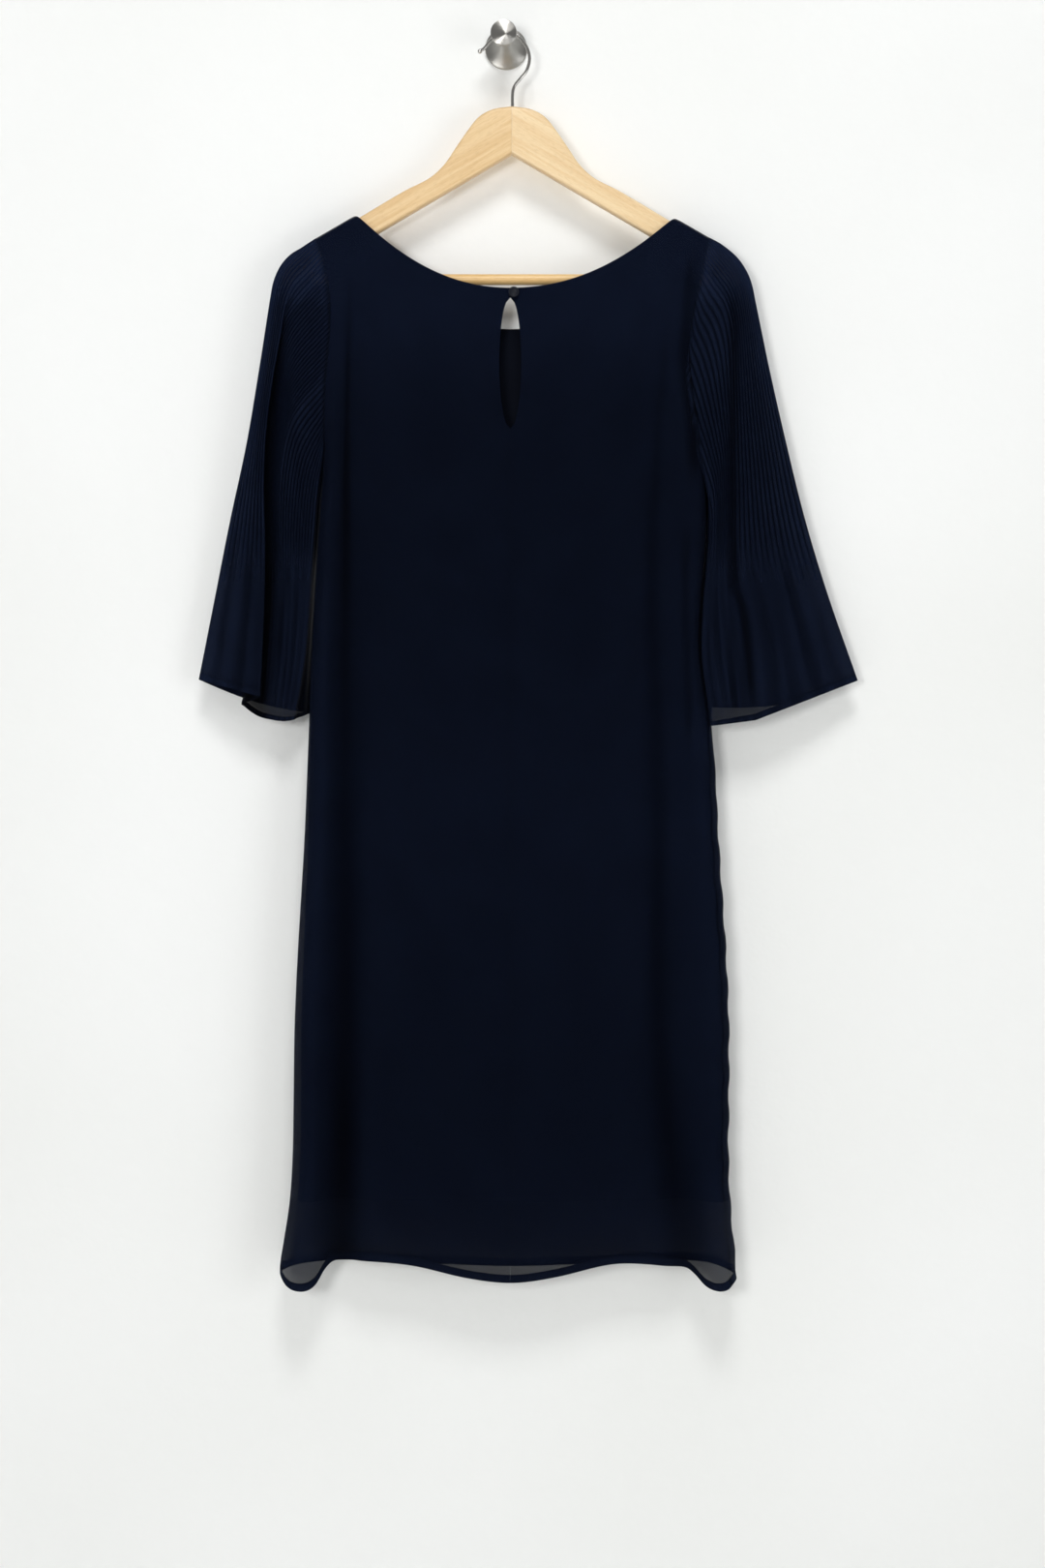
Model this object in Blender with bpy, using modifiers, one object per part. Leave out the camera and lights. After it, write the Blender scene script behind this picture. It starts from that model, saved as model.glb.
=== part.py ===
"""A shift dress on a wooden hanger, hung by its wire hook from a steel wall knob.

The dress shows its back. It has an outer layer of thin cloth over a shorter lining, and two
three-quarter sleeves in fine accordion pleats. Everything is measured from the middle of the
knob's flat back, which lies on the wall: +X to the right, +Y into the wall, +Z up. Sizes are in
millimetres until a mesh is made, and "down" is the drop below that point.
"""
import math
from bisect import bisect_right

import bmesh
import bpy
import numpy as np

MM = 0.001

# Cloth
OUTER_WALL = 1.0            # outer cloth, front and back
LINING_WALL = 1.0
LINING_IN = 1.6             # from the outer cloth's face to the lining's face
SLEEVE_WALL = 1.1
SEAM_GAP = 0.4              # between two pieces that are sewn together
ARMHOLE_GAP = 1.4           # between the body's edge and the sleeve's head
BACK_SEAM_X = 4.0           # centre-back seam
MID_DEPTH = -30.0           # plane of the hanger, the hook and the shoulder seams

# Neck and shoulders
NECK_LEFT = (-141.0, 165.4)         # x, down
NECK_RIGHT = (158.5, 167.9)
SHOULDER_LEFT = (-179.9, 187.8)     # where the sleeve's head is sewn on
SHOULDER_RIGHT = (191.7, 186.9)
BACK_NECK_DOWN = 236.0
FRONT_NECK_DOWN = 271.0
NECK_POWER = 2.1
RIDGE_ROUND = 5.0           # the cloth rounds off over the hanger's arm in this height
UNDERARM_DOWN = 391.0
ARMHOLE_ROUND = 45.0        # height of the rounded bottom of the armhole
SIDE_ROUND = 16.0           # width of the rounded side of the body
ROUND_SHARE = 0.42          # but no more than this share of the way to the long fold
FOLD_HALF = 13.0            # half the width of a long fold
SLOPE_SHARE = 0.3           # and the share that it has where the fold is near the side
FOLD_LIP = 24.0             # from the bottom of a fold to the flat of the back

# Keyhole below the back neck
KEYHOLE_TOP = 246.0
KEYHOLE_BOTTOM = 368.0
KEYHOLE_HALF = 10.4
KEYHOLE_POWER = 0.42

# The sides, from the shoulder down the armhole's seam and the side to the hem
SIDE_COLUMNS = ("down", "left", "right")
SIDE_ROWS = (
    (187, -179.9, 191.7), (206, -173.5, 187.2), (227, -168.0, 182.4), (249, -165.3, 177.6),
    (275, -165.3, 173.4), (297, -167.1, 172.4), (331, -169.8, 175.4), (369, -170.8, 180.8),
    (406, -172.6, 187.8), (468, -177.1, 188.6), (533, -180.9, 184.2), (577, -183.4, 183.4),
    (640, -185.5, 192.6), (686, -187.2, 197.0), (752, -189.9, 200.2), (808, -193.1, 203.9),
    (863, -196.3, 207.4), (929, -199.1, 209.9), (998, -200.0, 209.8), (1050, -200.8, 209.4),
    (1094, -203.6, 211.0), (1131, -209.1, 214.2), (1154, -212.6, 216.2), (1175, -212.0, 218.4),
)

# The long folds of the back: their line, and how deep each place of the cloth lies
FOLD_COLUMNS = ("down", "left_fold", "right_fold", "roll", "left_depth", "right_depth",
                "flat", "middle", "front", "side")
FOLD_ROWS = (
    (165, -141.0, 158.5, -39.6, -39.6, -39.6, -39.6, -39.6, -20.4, -30.0),
    (240, -146.5, 152.0, -41.0, -41.0, -41.5, -42.0, -42.5, -19.0, -30.0),
    (330, -148.8, 147.5, -44.0, -42.0, -43.0, -44.5, -45.0, -17.5, -30.0),
    (420, -150.1, 146.8, -47.5, -42.0, -43.0, -46.5, -47.5, -16.0, -30.5),
    (560, -150.8, 148.0, -52.0, -41.5, -42.5, -48.5, -50.0, -14.5, -31.0),
    (750, -151.0, 152.5, -57.0, -40.5, -41.5, -50.0, -53.0, -13.0, -32.0),
    (950, -151.9, 149.5, -61.0, -39.5, -40.5, -50.5, -55.0, -11.5, -33.0),
    (1060, -153.5, 156.5, -63.5, -39.0, -40.0, -51.0, -56.5, -11.0, -34.0),
    (1170, -155.8, 170.0, -66.0, -38.0, -40.0, -51.0, -58.0, -10.5, -35.0),
)

# The hem's drop across the dress
BACK_HEM_ROWS = (
    (-212, 1160.0), (-196, 1172.0), (-177, 1168.0), (-160, 1151.5), (-132, 1148.0),
    (-87, 1152.0), (-35, 1163.0), (6, 1167.0), (46, 1162.0), (88, 1152.5), (108, 1150.0),
    (135, 1151.0), (159, 1154.0), (176, 1161.0), (196, 1171.0), (218, 1163.5),
)
FRONT_HEM_ROWS = (
    (-212, 1161.0), (-185, 1156.0), (-150, 1154.0), (-60, 1158.0), (5, 1160.0),
    (70, 1158.0), (150, 1154.0), (190, 1156.0), (218, 1164.0),
)

# Rows of every panel from the underarm down; the lining ends at the last of them
SKIRT_LEVELS = (392.0, 430.0, 500.0, 570.0, 630.0, 700.0, 800.0, 910.0, 1010.0, 1091.0)

# The outer cloth stands proud of the lining along the left side
LINING_SHORT_ROWS = ((187, 0.3), (600, 0.3), (700, 1.5), (850, 4.5), (1000, 6.0), (1091, 6.5))

# The right side seam turns round to the back in the skirt: degrees round the side
SEAM_TURN_ROWS = ((187, 0.0), (391, 0.0), (470, 12.0), (690, 54.0), (800, 60.0), (1175, 60.0))
SEAM_TURN_GAP = 0.03        # share of a right angle left open between the two panels
LINING_TURN_GAP = 0.10

# Sleeves: each long line runs from the armhole's seam to the hem. A line holds its place on the
# armhole (0 is the shoulder, 0.5 the underarm, 1 the shoulder again), the pleats up to the next
# line, how far the cloth between them bulges, and its points (x, depth, down) below the seam.
LINE_COLUMNS = ("name", "place", "pleats", "bulge", "points")
LEFT_SLEEVE_ROWS = (
    ("outer edge", 0.0, 9, -5.0, (
        (-191.8, -30, 195.1), (-203.6, -30, 202.4), (-212.9, -30, 212.9), (-219.3, -30, 227.0),
        (-222.3, -30, 241.6), (-231.9, -30, 303.3), (-244.7, -30, 379.5), (-260.2, -29, 451.6),
        (-274.8, -28, 524.7), (-290.4, -27, 603.2))),
    ("fold lip", 0.144, 2, 0.0, (
        (-186.5, -41, 234.5), (-202.9, -42, 244.5), (-210.5, -43, 277.0), (-218.0, -45, 323.0),
        (-223.6, -47, 370.0), (-225.6, -49, 422.0), (-224.2, -50, 476.0), (-224.7, -51, 533.0),
        (-229.3, -53, 620.5))),
    ("fold under", 0.172, 12, -5.0, (
        (-180.0, -41, 240.5), (-195.0, -41, 254.0), (-204.0, -38, 290.0), (-213.5, -35, 345.0),
        (-219.8, -34, 400.0), (-223.5, -33, 450.0), (-225.5, -33, 520.0), (-231.0, -31, 575.0),
        (-247.0, -28, 627.0))),
    ("inner edge, near", 0.45, 3, 0.0, (
        (-177.2, -40, 430.0), (-180.9, -42, 480.0), (-184.9, -43, 545.0), (-188.6, -43, 585.0),
        (-198.5, -43, 641.5))),
    ("inner edge, far", 0.55, 16, 12.0, (
        (-175.3, -16, 430.0), (-178.8, -15, 480.0), (-182.6, -14, 545.0), (-184.8, -14, 585.0),
        (-186.6, -14, 636.0))),
)
RIGHT_SLEEVE_ROWS = (
    ("outer edge", 0.0, 11, -5.0, (
        (204.5, -30, 193.7), (218.2, -30, 205.1), (227.5, -30, 218.8), (232.1, -30, 230.7),
        (235.9, -30, 249.0), (248.3, -30, 309.2), (262.9, -30, 374.0), (282.1, -29, 451.6),
        (303.5, -28, 522.0), (332.3, -27, 604.1))),
    ("soft fold", 0.15, 9, -4.0, (
        (199.5, -41, 240.0), (209.5, -42, 265.0), (213.9, -42, 328.0), (215.2, -42, 420.0),
        (215.8, -42, 500.0), (220.5, -43, 530.0), (227.5, -46, 575.0), (234.0, -49, 642.0))),
    ("inner edge, near", 0.45, 3, 0.0, (
        (191.8, -41, 430.0), (191.9, -43, 470.0), (187.6, -45, 533.0), (186.4, -46, 577.0),
        (190.3, -47, 615.0), (196.2, -47, 647.5))),
    ("inner edge, far", 0.55, 16, 12.0, (
        (189.6, -16, 430.0), (189.8, -15, 470.0), (185.3, -13, 533.0), (184.5, -13, 577.0),
        (190.4, -13, 615.0), (194.4, -13, 645.0))),
)
SLEEVE_RINGS = (0.0, 0.035, 0.075, 0.14, 0.25, 0.4, 0.55, 0.69, 0.84, 1.0)
PLEAT_DEPTH = 1.7
PLEAT_ROWS = ((0.0, 0.0), (0.035, 0.7), (0.1, 1.0), (0.55, 1.0), (0.7, 0.35), (0.84, 0.0), (1.0, 0.0))
FLARE_DEPTH = 2.4           # soft waves that the pleats open into
FLARE_ROWS = ((0.0, 0.0), (0.55, 0.0), (0.72, 0.5), (1.0, 1.0))
PLEATS_IN_WAVE = 4
SLEEVE_HEM_SAG = 4.0

# Hanger
HANGER_X = 5.5
ARM_THICK = 12.0
ARM_EDGE = 3.5
ARM_JOINT_GAP = 0.3
ARM_TOP = (                 # from the glued joint outwards: distance out, down
    (0.0, 63.4), (17.8, 66.1), (31.1, 73.2), (42.0, 86.4), (53.0, 102.4), (64.0, 118.4),
    (77.6, 130.9), (99.6, 142.2), (119.6, 153.8), (141.6, 167.0), (204.0, 204.0), (210.5, 208.8),
    (214.8, 215.0), (216.8, 222.2), (216.0, 229.5), (211.5, 232.9),
)
ARM_APEX_DOWN = 108.6
BAR_RADIUS = 5.1
BAR_DOWN = 226.1
BAR_HALF = 189.0
WIRE_RADIUS = 1.6
BEAD_RADIUS = 2.6
HOOK_ROUTE = (              # x, down: from the bead over the knob's neck to the hanger
    (-24.7, 10.7), (-19.0, 4.5), (-12.8, -1.0), (-3.0, -7.8), (9.1, -5.0), (18.2, 4.5),
    (22.2, 16.5), (19.6, 28.5), (13.5, 36.5), (8.0, 43.5), (6.2, 50.0), (6.0, 63.0),
)

# Wall knob: radius and distance from the wall
KNOB_ROWS = (
    (0.0, 50.0), (11.2, 50.0), (12.3, 49.0), (12.3, 46.4), (10.4, 43.8), (7.4, 39.6), (5.7, 34.0),
    (5.3, 29.0), (6.0, 23.0), (7.7, 16.5), (10.6, 10.6), (14.5, 6.3), (18.6, 3.4), (19.4, 3.2),
    (20.1, 2.5), (20.1, 0.0), (0.0, 0.0),
)

# Neck fastening
BUTTON_X = 7.4
BUTTON_DOWN = 240.8
BUTTON_RADIUS = 4.7
BUTTON_THICK = 2.6
BUTTON_FRONT = -47.6
LOOP_RADIUS = 0.7
LOOP_BEND = 3.4             # radius of the loop round the button's shank
LOOP_OPEN = 50.0            # degrees left open towards the left panel
LOOP_DEPTH = -44.0

# Colours
NAVY = (0.0042, 0.0062, 0.0150, 1.0)
NAVY_LINING = (0.0036, 0.0052, 0.0120, 1.0)
WOOD = (0.80, 0.58, 0.33, 1.0)
BAR_WOOD = (0.80, 0.55, 0.24, 1.0)
STEEL = (0.62, 0.60, 0.56, 1.0)


# ---------------------------------------------------------------- curves and tables

def smooth(knots, values, at):
    """The smooth curve through values, numbers or points, set at rising knots."""
    at = min(max(at, knots[0]), knots[-1])
    i = min(bisect_right(knots, at) - 1, len(knots) - 2)

    def slope(j):
        before, after = max(j - 1, 0), min(j + 1, len(knots) - 1)
        return (values[after] - values[before]) / (knots[after] - knots[before])

    step = knots[i + 1] - knots[i]
    t = (at - knots[i]) / step
    return ((1 + 2 * t) * (1 - t) ** 2 * values[i] + t * (1 - t) ** 2 * step * slope(i)
            + t * t * (3 - 2 * t) * values[i + 1] - t * t * (1 - t) * step * slope(i + 1))


def read(rows, at, column=1):
    """A table's column, read smoothly at a value of its first column."""
    return smooth([row[0] for row in rows], [row[column] for row in rows], at)


def side_x(side, down):
    return read(SIDE_ROWS, down, SIDE_COLUMNS.index(side))


def fold(name, down):
    return read(FOLD_ROWS, down, FOLD_COLUMNS.index(name))


def ease(a, b, t):
    """From a to b, level at both ends."""
    t = min(max(t, 0.0), 1.0)
    return a + (b - a) * (1 - math.cos(math.pi * t)) / 2


def quarter_round(t):
    """Rises from 0 to 1 as a quarter circle does."""
    t = min(max(t, 0.0), 1.0)
    return math.sqrt(1 - (1 - t) ** 2)


def through(points):
    """A smooth path through points, as a function of the share of its length."""
    points = [np.array(point, dtype=float) for point in points]
    knots = [0.0]
    for before, after in zip(points, points[1:]):
        knots.append(knots[-1] + float(np.linalg.norm(after - before)))
    return lambda t: smooth(knots, points, t * knots[-1])


# ---------------------------------------------------------------- the body of the dress

def shoulder_line(x):
    """Drop of the line that the shoulder seams lie on, carried on over the neck."""
    neck, tip = (NECK_LEFT, SHOULDER_LEFT) if x < BACK_SEAM_X else (NECK_RIGHT, SHOULDER_RIGHT)
    return neck[1] + (tip[1] - neck[1]) * (x - neck[0]) / (tip[0] - neck[0])


def top_edge(x, neck_down):
    """Drop of a panel's top edge: the shoulder seams and the neckline between them."""
    if x <= NECK_LEFT[0] or x >= NECK_RIGHT[0]:
        return shoulder_line(x)
    neck = NECK_LEFT if x < BACK_SEAM_X else NECK_RIGHT
    t = (x - BACK_SEAM_X) / (neck[0] - BACK_SEAM_X)
    return neck_down - (neck_down - neck[1]) * abs(t) ** NECK_POWER


def keyhole_half(down):
    if not KEYHOLE_TOP < down < KEYHOLE_BOTTOM:
        return 0.0
    t = (down - KEYHOLE_TOP) / (KEYHOLE_BOTTOM - KEYHOLE_TOP)
    return KEYHOLE_HALF * math.sin(math.pi * t) ** KEYHOLE_POWER


def side_places(side, down, short=0.0):
    """Places on one half of the back, measured as for the left half: the side, the end of its
    rounding, the start of the long fold's slope and the bottom of the fold."""
    way = 1 if side == "left" else -1
    edge = way * side_x(side, down)
    bottom = way * fold(side + "_fold", down)
    span = bottom - edge
    return (edge + short, edge + min(SIDE_ROUND, ROUND_SHARE * span),
            bottom - min(FOLD_HALF, SLOPE_SHARE * span), bottom)


def back_depth(x, down):
    """Depth of the back's cloth away from its sides: two rolls, two long folds and the flat."""
    side = "left" if x < BACK_SEAM_X else "right"
    way = 1 if side == "left" else -1
    crest, bottom = side_places(side, down)[1::2]
    lip = bottom + FOLD_LIP
    flat = fold("flat", down)
    if way * x < bottom:
        return ease(fold("roll", down), fold(side + "_depth", down),
                    (way * x - crest) / (bottom - crest))
    if way * x < lip:
        return ease(fold(side + "_depth", down), flat, (way * x - bottom) / FOLD_LIP)
    return ease(flat, fold("middle", down), (way * x - lip) / (way * BACK_SEAM_X - lip))


def front_depth(x, down):
    """Depth of the front's cloth: nearly flat, with two wide shallow folds."""
    drop = min(max((down - 300.0) / 600.0, 0.0), 1.0)
    dent = 0.0
    for middle, half, deep in ((-104.0, 42.0, 4.5), (92.0, 46.0, 4.0)):
        away = abs(x - middle) / half
        if away < 1:
            dent += deep * drop * (1 + math.cos(math.pi * away)) / 2
    return fold("front", down) - dent


def station_x(station, down, seam_shift, left_short):
    """Where a lengthwise line of the body lies: 0 is the left side, 5 the middle, 10 the right."""
    left_half = station <= 5
    way = 1 if left_half else -1
    place = station if left_half else 10 - station
    edge, rounded, slope, bottom = side_places("left" if left_half else "right", down,
                                               left_short if left_half else 0.0)
    if place < 1:
        return way * (edge + (rounded - edge) * (1 - math.cos(place * math.pi / 2)))
    knots = (rounded, slope, bottom, bottom + FOLD_HALF, way * (BACK_SEAM_X + seam_shift))
    i = min(int(place) - 1, 3)
    return way * (knots[i] + (knots[i + 1] - knots[i]) * (place - 1 - i))


def body_point(face, station, down, seam_shift=0.0, left_short=0.0):
    """A point of the body's outside, and the depth of the seam at its side. Stations past 10 turn
    round the right side to the back."""
    turned = station > 10
    if turned:
        station = 20 - station
    x = station_x(station, down, seam_shift, left_short)
    near = (face == "back") != turned
    depth = back_depth(x, down) if near else front_depth(x, down)
    from_side = min(station, 10 - station, 1.0)
    side = math.sin(max(from_side, 0.0) * math.pi / 2)
    if down < UNDERARM_DOWN:
        open_arm = quarter_round((UNDERARM_DOWN - down) / ARMHOLE_ROUND)
        side = open_arm + (1 - open_arm) * side
    over_hanger = quarter_round((down - shoulder_line(x)) / RIDGE_ROUND)
    seam = fold("side", down) + (-SEAM_GAP / 2 if near else SEAM_GAP / 2)
    return np.array((x, seam + (depth - seam) * side * over_hanger, -down, seam))


def panel_grid(face, stations, levels, neck_down, hem, lining=False, seam_side=0):
    """Rows of points over a panel, each with the depth that its inside stays short of. The rows
    down to the underarm are shares of that height and the others are drops, the same on all the
    panels. seam_side is -1 or 1 left or right of the centre-back seam, 0 for one across it."""
    turn_gap = LINING_TURN_GAP if lining else SEAM_TURN_GAP
    free = 1000.0 if face == "back" else -1000.0
    grid = []
    for place in stations:
        def at(down):
            seam_shift = seam_side * (keyhole_half(down) + SEAM_GAP / 2)
            turn = max(read(SEAM_TURN_ROWS, down), 0.0) / 90
            station = place
            if face == "back" and place > 9:
                station = 9 + (place - 9) * (1 - turn)
            elif place > 9:
                station = min(9 + (place - 9) * (1 + max(turn - SEAM_TURN_GAP, 0.0)),
                              10 + max(turn - turn_gap, 0.0))
            short = read(LINING_SHORT_ROWS, down) if lining else 0.0
            point = body_point(face, station, down, seam_shift, short)
            if place > 9 and turn > turn_gap:
                point[3] = free
            return point

        top = 200.0
        for _ in range(12):
            x = at(top)[0]
            top = top_edge(x, neck_down)
        on_neck = min(max((top - shoulder_line(x)) / 60.0, 0.0), 1.0)
        upper = [(level - neck_down) / (SKIRT_LEVELS[0] - neck_down) for level in levels]
        downs = [top + (SKIRT_LEVELS[0] - top) * (row * on_neck + row ** 1.5 * (1 - on_neck))
                 for row in upper]
        downs += SKIRT_LEVELS
        if hem:
            last = read(hem, at(1160.0)[0])
            downs += [downs[-1] + (last - downs[-1]) * share for share in (0.35, 0.7, 1.0)]
        grid.append([at(down) for down in downs])
    return np.array(grid).transpose(1, 0, 2)


def moved_in(grid, distance, face):
    """The grid's points moved to the inside, square to its surface, but not past the seam."""
    points, limit = grid[:, :, :3], grid[:, :, 3]
    across, along = np.gradient(points, axis=1), np.gradient(points, axis=0)
    inside = np.cross(across, along)
    moved = points + distance * inside / np.linalg.norm(inside, axis=2, keepdims=True)
    short_of = np.minimum if face == "back" else np.maximum
    moved[:, :, 1] = short_of(moved[:, :, 1], limit)
    return moved


# ---------------------------------------------------------------- the sleeves

def armhole(side, place):
    """A point on the armhole's seam, a gap outside the body's edge."""
    near = place <= 0.5
    round_place = place if near else 1 - place
    top = SHOULDER_LEFT[1] if side == "left" else SHOULDER_RIGHT[1]
    down = top + (UNDERARM_DOWN - top) * (1 - math.cos(2 * math.pi * round_place)) / 2
    station = 0.0 if side == "left" else 10.0
    point = body_point("back" if near else "front", station, down)[:3]
    out = -1 if side == "left" else 1
    under = quarter_round((UNDERARM_DOWN - down) / ARMHOLE_ROUND)
    point[0] += out * (ARMHOLE_GAP if near else 1.8 * ARMHOLE_GAP)
    point[2] -= SEAM_GAP * (1 - under)
    return point


def sleeve_walls(side, rows):
    """Rings of points down a sleeve, outside and inside: a surface between each long line and
    the next, then the pleats and the flare's waves raised square to it."""
    lines = []
    for name, place, pleats, bulge, points in rows:
        under_seam = [np.array((x, depth, -down)) for x, depth, down in points]
        lines.append((through([armhole(side, place)] + under_seam), place, pleats, bulge))
    columns, pleat_at, raised, seam_out = [], [], [], []
    for i, (line, place, pleats, bulge) in enumerate(lines):
        next_line, next_place = lines[(i + 1) % len(lines)][:2]
        next_place = next_place or 1.0
        sag = SLEEVE_HEM_SAG if place in (0.0, 0.55) else 0.0
        for j in range(2 * pleats):
            s = j / (2 * pleats)
            round_place = place + (next_place - place) * s
            from_seam = armhole(side, round_place) - (1 - s) * line(0) - s * next_line(0)
            sagged = np.array((0.0, 0.0, -sag)) * math.sin(math.pi * s)
            bulged = np.array((0.0, bulge, 0.0)) * math.sin(math.pi * s) ** 0.8
            column = []
            for v in SLEEVE_RINGS:
                between = (1 - s) * line(v) + s * next_line(v)
                column.append(between + (1 - v) ** 3 * from_seam + v * v * sagged
                              + (1 - (1 - v) ** 8) * bulged)
            columns.append(column)
            pleat_at.append(len(pleat_at) / 2)
            raised.append((min(1.0, pleats * s / 1.5, pleats * (1 - s) / 1.5),
                           math.sin(math.pi * s)))
            turn = 2 * math.pi * round_place
            seam_out.append((0.0, -math.sin(turn), 0.11 * math.cos(turn)))
    grid = np.array(columns).transpose(1, 0, 2)
    around = np.roll(grid, -1, axis=1) - np.roll(grid, 1, axis=1)
    widths = np.linalg.norm(around, axis=2)
    steps = np.linalg.norm(np.roll(grid, -1, axis=1) - grid, axis=2)
    mitre = 1 / np.clip(widths / (steps + np.roll(steps, 1, axis=1)), 0.5, 1.0)
    along = np.gradient(grid, axis=0)
    outside = np.cross(along, around) * (1 if side == "left" else -1)
    outside /= np.linalg.norm(outside, axis=2, keepdims=True)
    outside += np.roll(outside, 1, axis=1) + np.roll(outside, -1, axis=1)
    outside[0] = seam_out
    outside /= np.linalg.norm(outside, axis=2, keepdims=True)
    bend = np.roll(grid, -1, axis=1) + np.roll(grid, 1, axis=1) - 2 * grid
    mitre[(bend * outside).sum(axis=2) > 0] = 1.0
    for k, v in enumerate(SLEEVE_RINGS):
        pleat, flare = read(PLEAT_ROWS, v) * PLEAT_DEPTH / 2, read(FLARE_ROWS, v) * FLARE_DEPTH
        for j, (at, (pleat_share, flare_share)) in enumerate(zip(pleat_at, raised)):
            wave = math.sin(2 * math.pi * at / PLEATS_IN_WAVE)
            height = min(pleat, 0.2 * widths[k, j]) * pleat_share * (1 if j % 2 else -1)
            grid[k, j] += outside[k, j] * (height - flare * flare_share * (1 - wave) / 2)
    return grid, grid - outside * SLEEVE_WALL * mitre[:, :, None]


# ---------------------------------------------------------------- meshes

def finish_object(name, mesh, material, collection, smooth_shading=True):
    obj = bpy.data.objects.new(name, mesh)
    obj.data.materials.append(material)
    collection.objects.link(obj)
    if smooth_shading:
        mesh.shade_smooth()
    return obj


def cloth(name, outside, inside, material, collection, tube=False):
    """A wall of cloth: two grids bent over its outside and its inside, joined at their rims."""
    rows, columns = outside.shape[:2]
    steps = columns if tube else columns - 1
    bm = bmesh.new()
    for points in (outside, inside):
        made = bmesh.ops.create_grid(bm, x_segments=steps, y_segments=rows - 1, size=0.5)
        for vert in made["verts"]:
            column = round((vert.co.x + 0.5) * steps) % columns
            row = round((0.5 - vert.co.y) * (rows - 1))
            vert.co = points[row, column, :3] * MM
        if tube:
            bmesh.ops.remove_doubles(bm, verts=made["verts"], dist=1e-6)
    rim = [edge for edge in bm.edges if edge.is_boundary]
    if tube:
        middle = sum(vert.co.z for vert in bm.verts) / len(bm.verts)
        top = [edge for edge in rim if edge.verts[0].co.z > middle]
        bmesh.ops.bridge_loops(bm, edges=top)
        rim = [edge for edge in rim if edge not in top]
    bmesh.ops.bridge_loops(bm, edges=rim)
    bmesh.ops.recalc_face_normals(bm, faces=bm.faces)
    mesh = bpy.data.meshes.new(name)
    bm.to_mesh(mesh)
    bm.free()
    obj = finish_object(name, mesh, material, collection)
    mesh.set_sharp_from_angle(angle=math.radians(60))
    return obj


def new_material(name, colour, roughness, metallic=0.0):
    material = bpy.data.materials.new(name)
    material.use_nodes = True
    shader = material.node_tree.nodes["Principled BSDF"]
    shader.inputs["Base Color"].default_value = colour
    shader.inputs["Roughness"].default_value = roughness
    shader.inputs["Metallic"].default_value = metallic
    return material


def hanger_arm(name, way, material, collection):
    """One flat wooden arm with softened edges, from the glued joint outwards."""
    outline = [(max(out, ARM_JOINT_GAP / 2), down) for out, down in ARM_TOP]
    outline.append((ARM_JOINT_GAP / 2, ARM_APEX_DOWN))
    bm = bmesh.new()
    front = MID_DEPTH - ARM_THICK / 2
    verts = [bm.verts.new(((HANGER_X + way * out) * MM, front * MM, -down * MM))
             for out, down in outline]
    face = bm.faces.new(verts if way < 0 else verts[::-1])
    bm.normal_update()
    if face.normal.y > 0:
        face.normal_flip()
    back = bmesh.ops.extrude_face_region(bm, geom=[face])["geom"]
    bmesh.ops.translate(bm, vec=(0, ARM_THICK * MM, 0),
                        verts=[item for item in back if isinstance(item, bmesh.types.BMVert)])
    bmesh.ops.recalc_face_normals(bm, faces=bm.faces)
    joint = HANGER_X + way * ARM_JOINT_GAP / 2
    rims = [edge for edge in bm.edges
            if abs(edge.verts[0].co.y - edge.verts[1].co.y) < 1e-6
            and not all(abs(vert.co.x / MM - joint) < 0.01 for vert in edge.verts)]
    bmesh.ops.bevel(bm, geom=rims, offset=ARM_EDGE * MM, segments=2, profile=0.5,
                    affect="EDGES", clamp_overlap=True, material=-1)
    mesh = bpy.data.meshes.new(name)
    bm.to_mesh(mesh)
    bm.free()
    obj = finish_object(name, mesh, material, collection)
    mesh.set_sharp_from_angle(angle=math.radians(50))
    return obj


def rod(name, points, radius, material, collection, sides=2):
    """A round bar or wire along points, as a curve with a thickness."""
    curve = bpy.data.curves.new(name, "CURVE")
    curve.dimensions = "3D"
    curve.bevel_depth = radius * MM
    curve.bevel_resolution = sides
    curve.use_fill_caps = True
    spline = curve.splines.new("POLY")
    spline.points.add(len(points) - 1)
    for target, point in zip(spline.points, points):
        target.co = (point[0] * MM, point[1] * MM, point[2] * MM, 1.0)
    obj = bpy.data.objects.new(name, curve)
    obj.data.materials.append(material)
    collection.objects.link(obj)
    return obj


def hanger_hook(material, collection):
    """The bent wire with a bead on its tip, made one body."""
    route = through([(x, MID_DEPTH, -down) for x, down in HOOK_ROUTE])
    count = 28
    wire = rod("wire", [route(i / count) for i in range(count + 1)], WIRE_RADIUS,
               material, collection)
    evaluated = wire.evaluated_get(bpy.context.evaluated_depsgraph_get())
    mesh = bpy.data.meshes.new_from_object(evaluated)
    bpy.data.objects.remove(wire)
    bm = bmesh.new()
    bm.from_mesh(mesh)
    bmesh.ops.remove_doubles(bm, verts=bm.verts, dist=1e-6)
    bmesh.ops.recalc_face_normals(bm, faces=bm.faces)
    bm.to_mesh(mesh)
    bm.free()
    obj = finish_object("hanger_hook", mesh, material, collection)

    bead_mesh = bpy.data.meshes.new("bead")
    bm = bmesh.new()
    bmesh.ops.create_icosphere(bm, subdivisions=2, radius=BEAD_RADIUS * MM)
    x, down = HOOK_ROUTE[0]
    bmesh.ops.translate(bm, verts=bm.verts, vec=(x * MM, MID_DEPTH * MM, -down * MM))
    bm.to_mesh(bead_mesh)
    bm.free()
    bead = bpy.data.objects.new("bead", bead_mesh)
    helpers.objects.link(bead)
    bead.hide_render = True
    bead.display_type = "WIRE"
    union = obj.modifiers.new("Bead", "BOOLEAN")
    union.operation = "UNION"
    union.object = bead
    return obj


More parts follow.
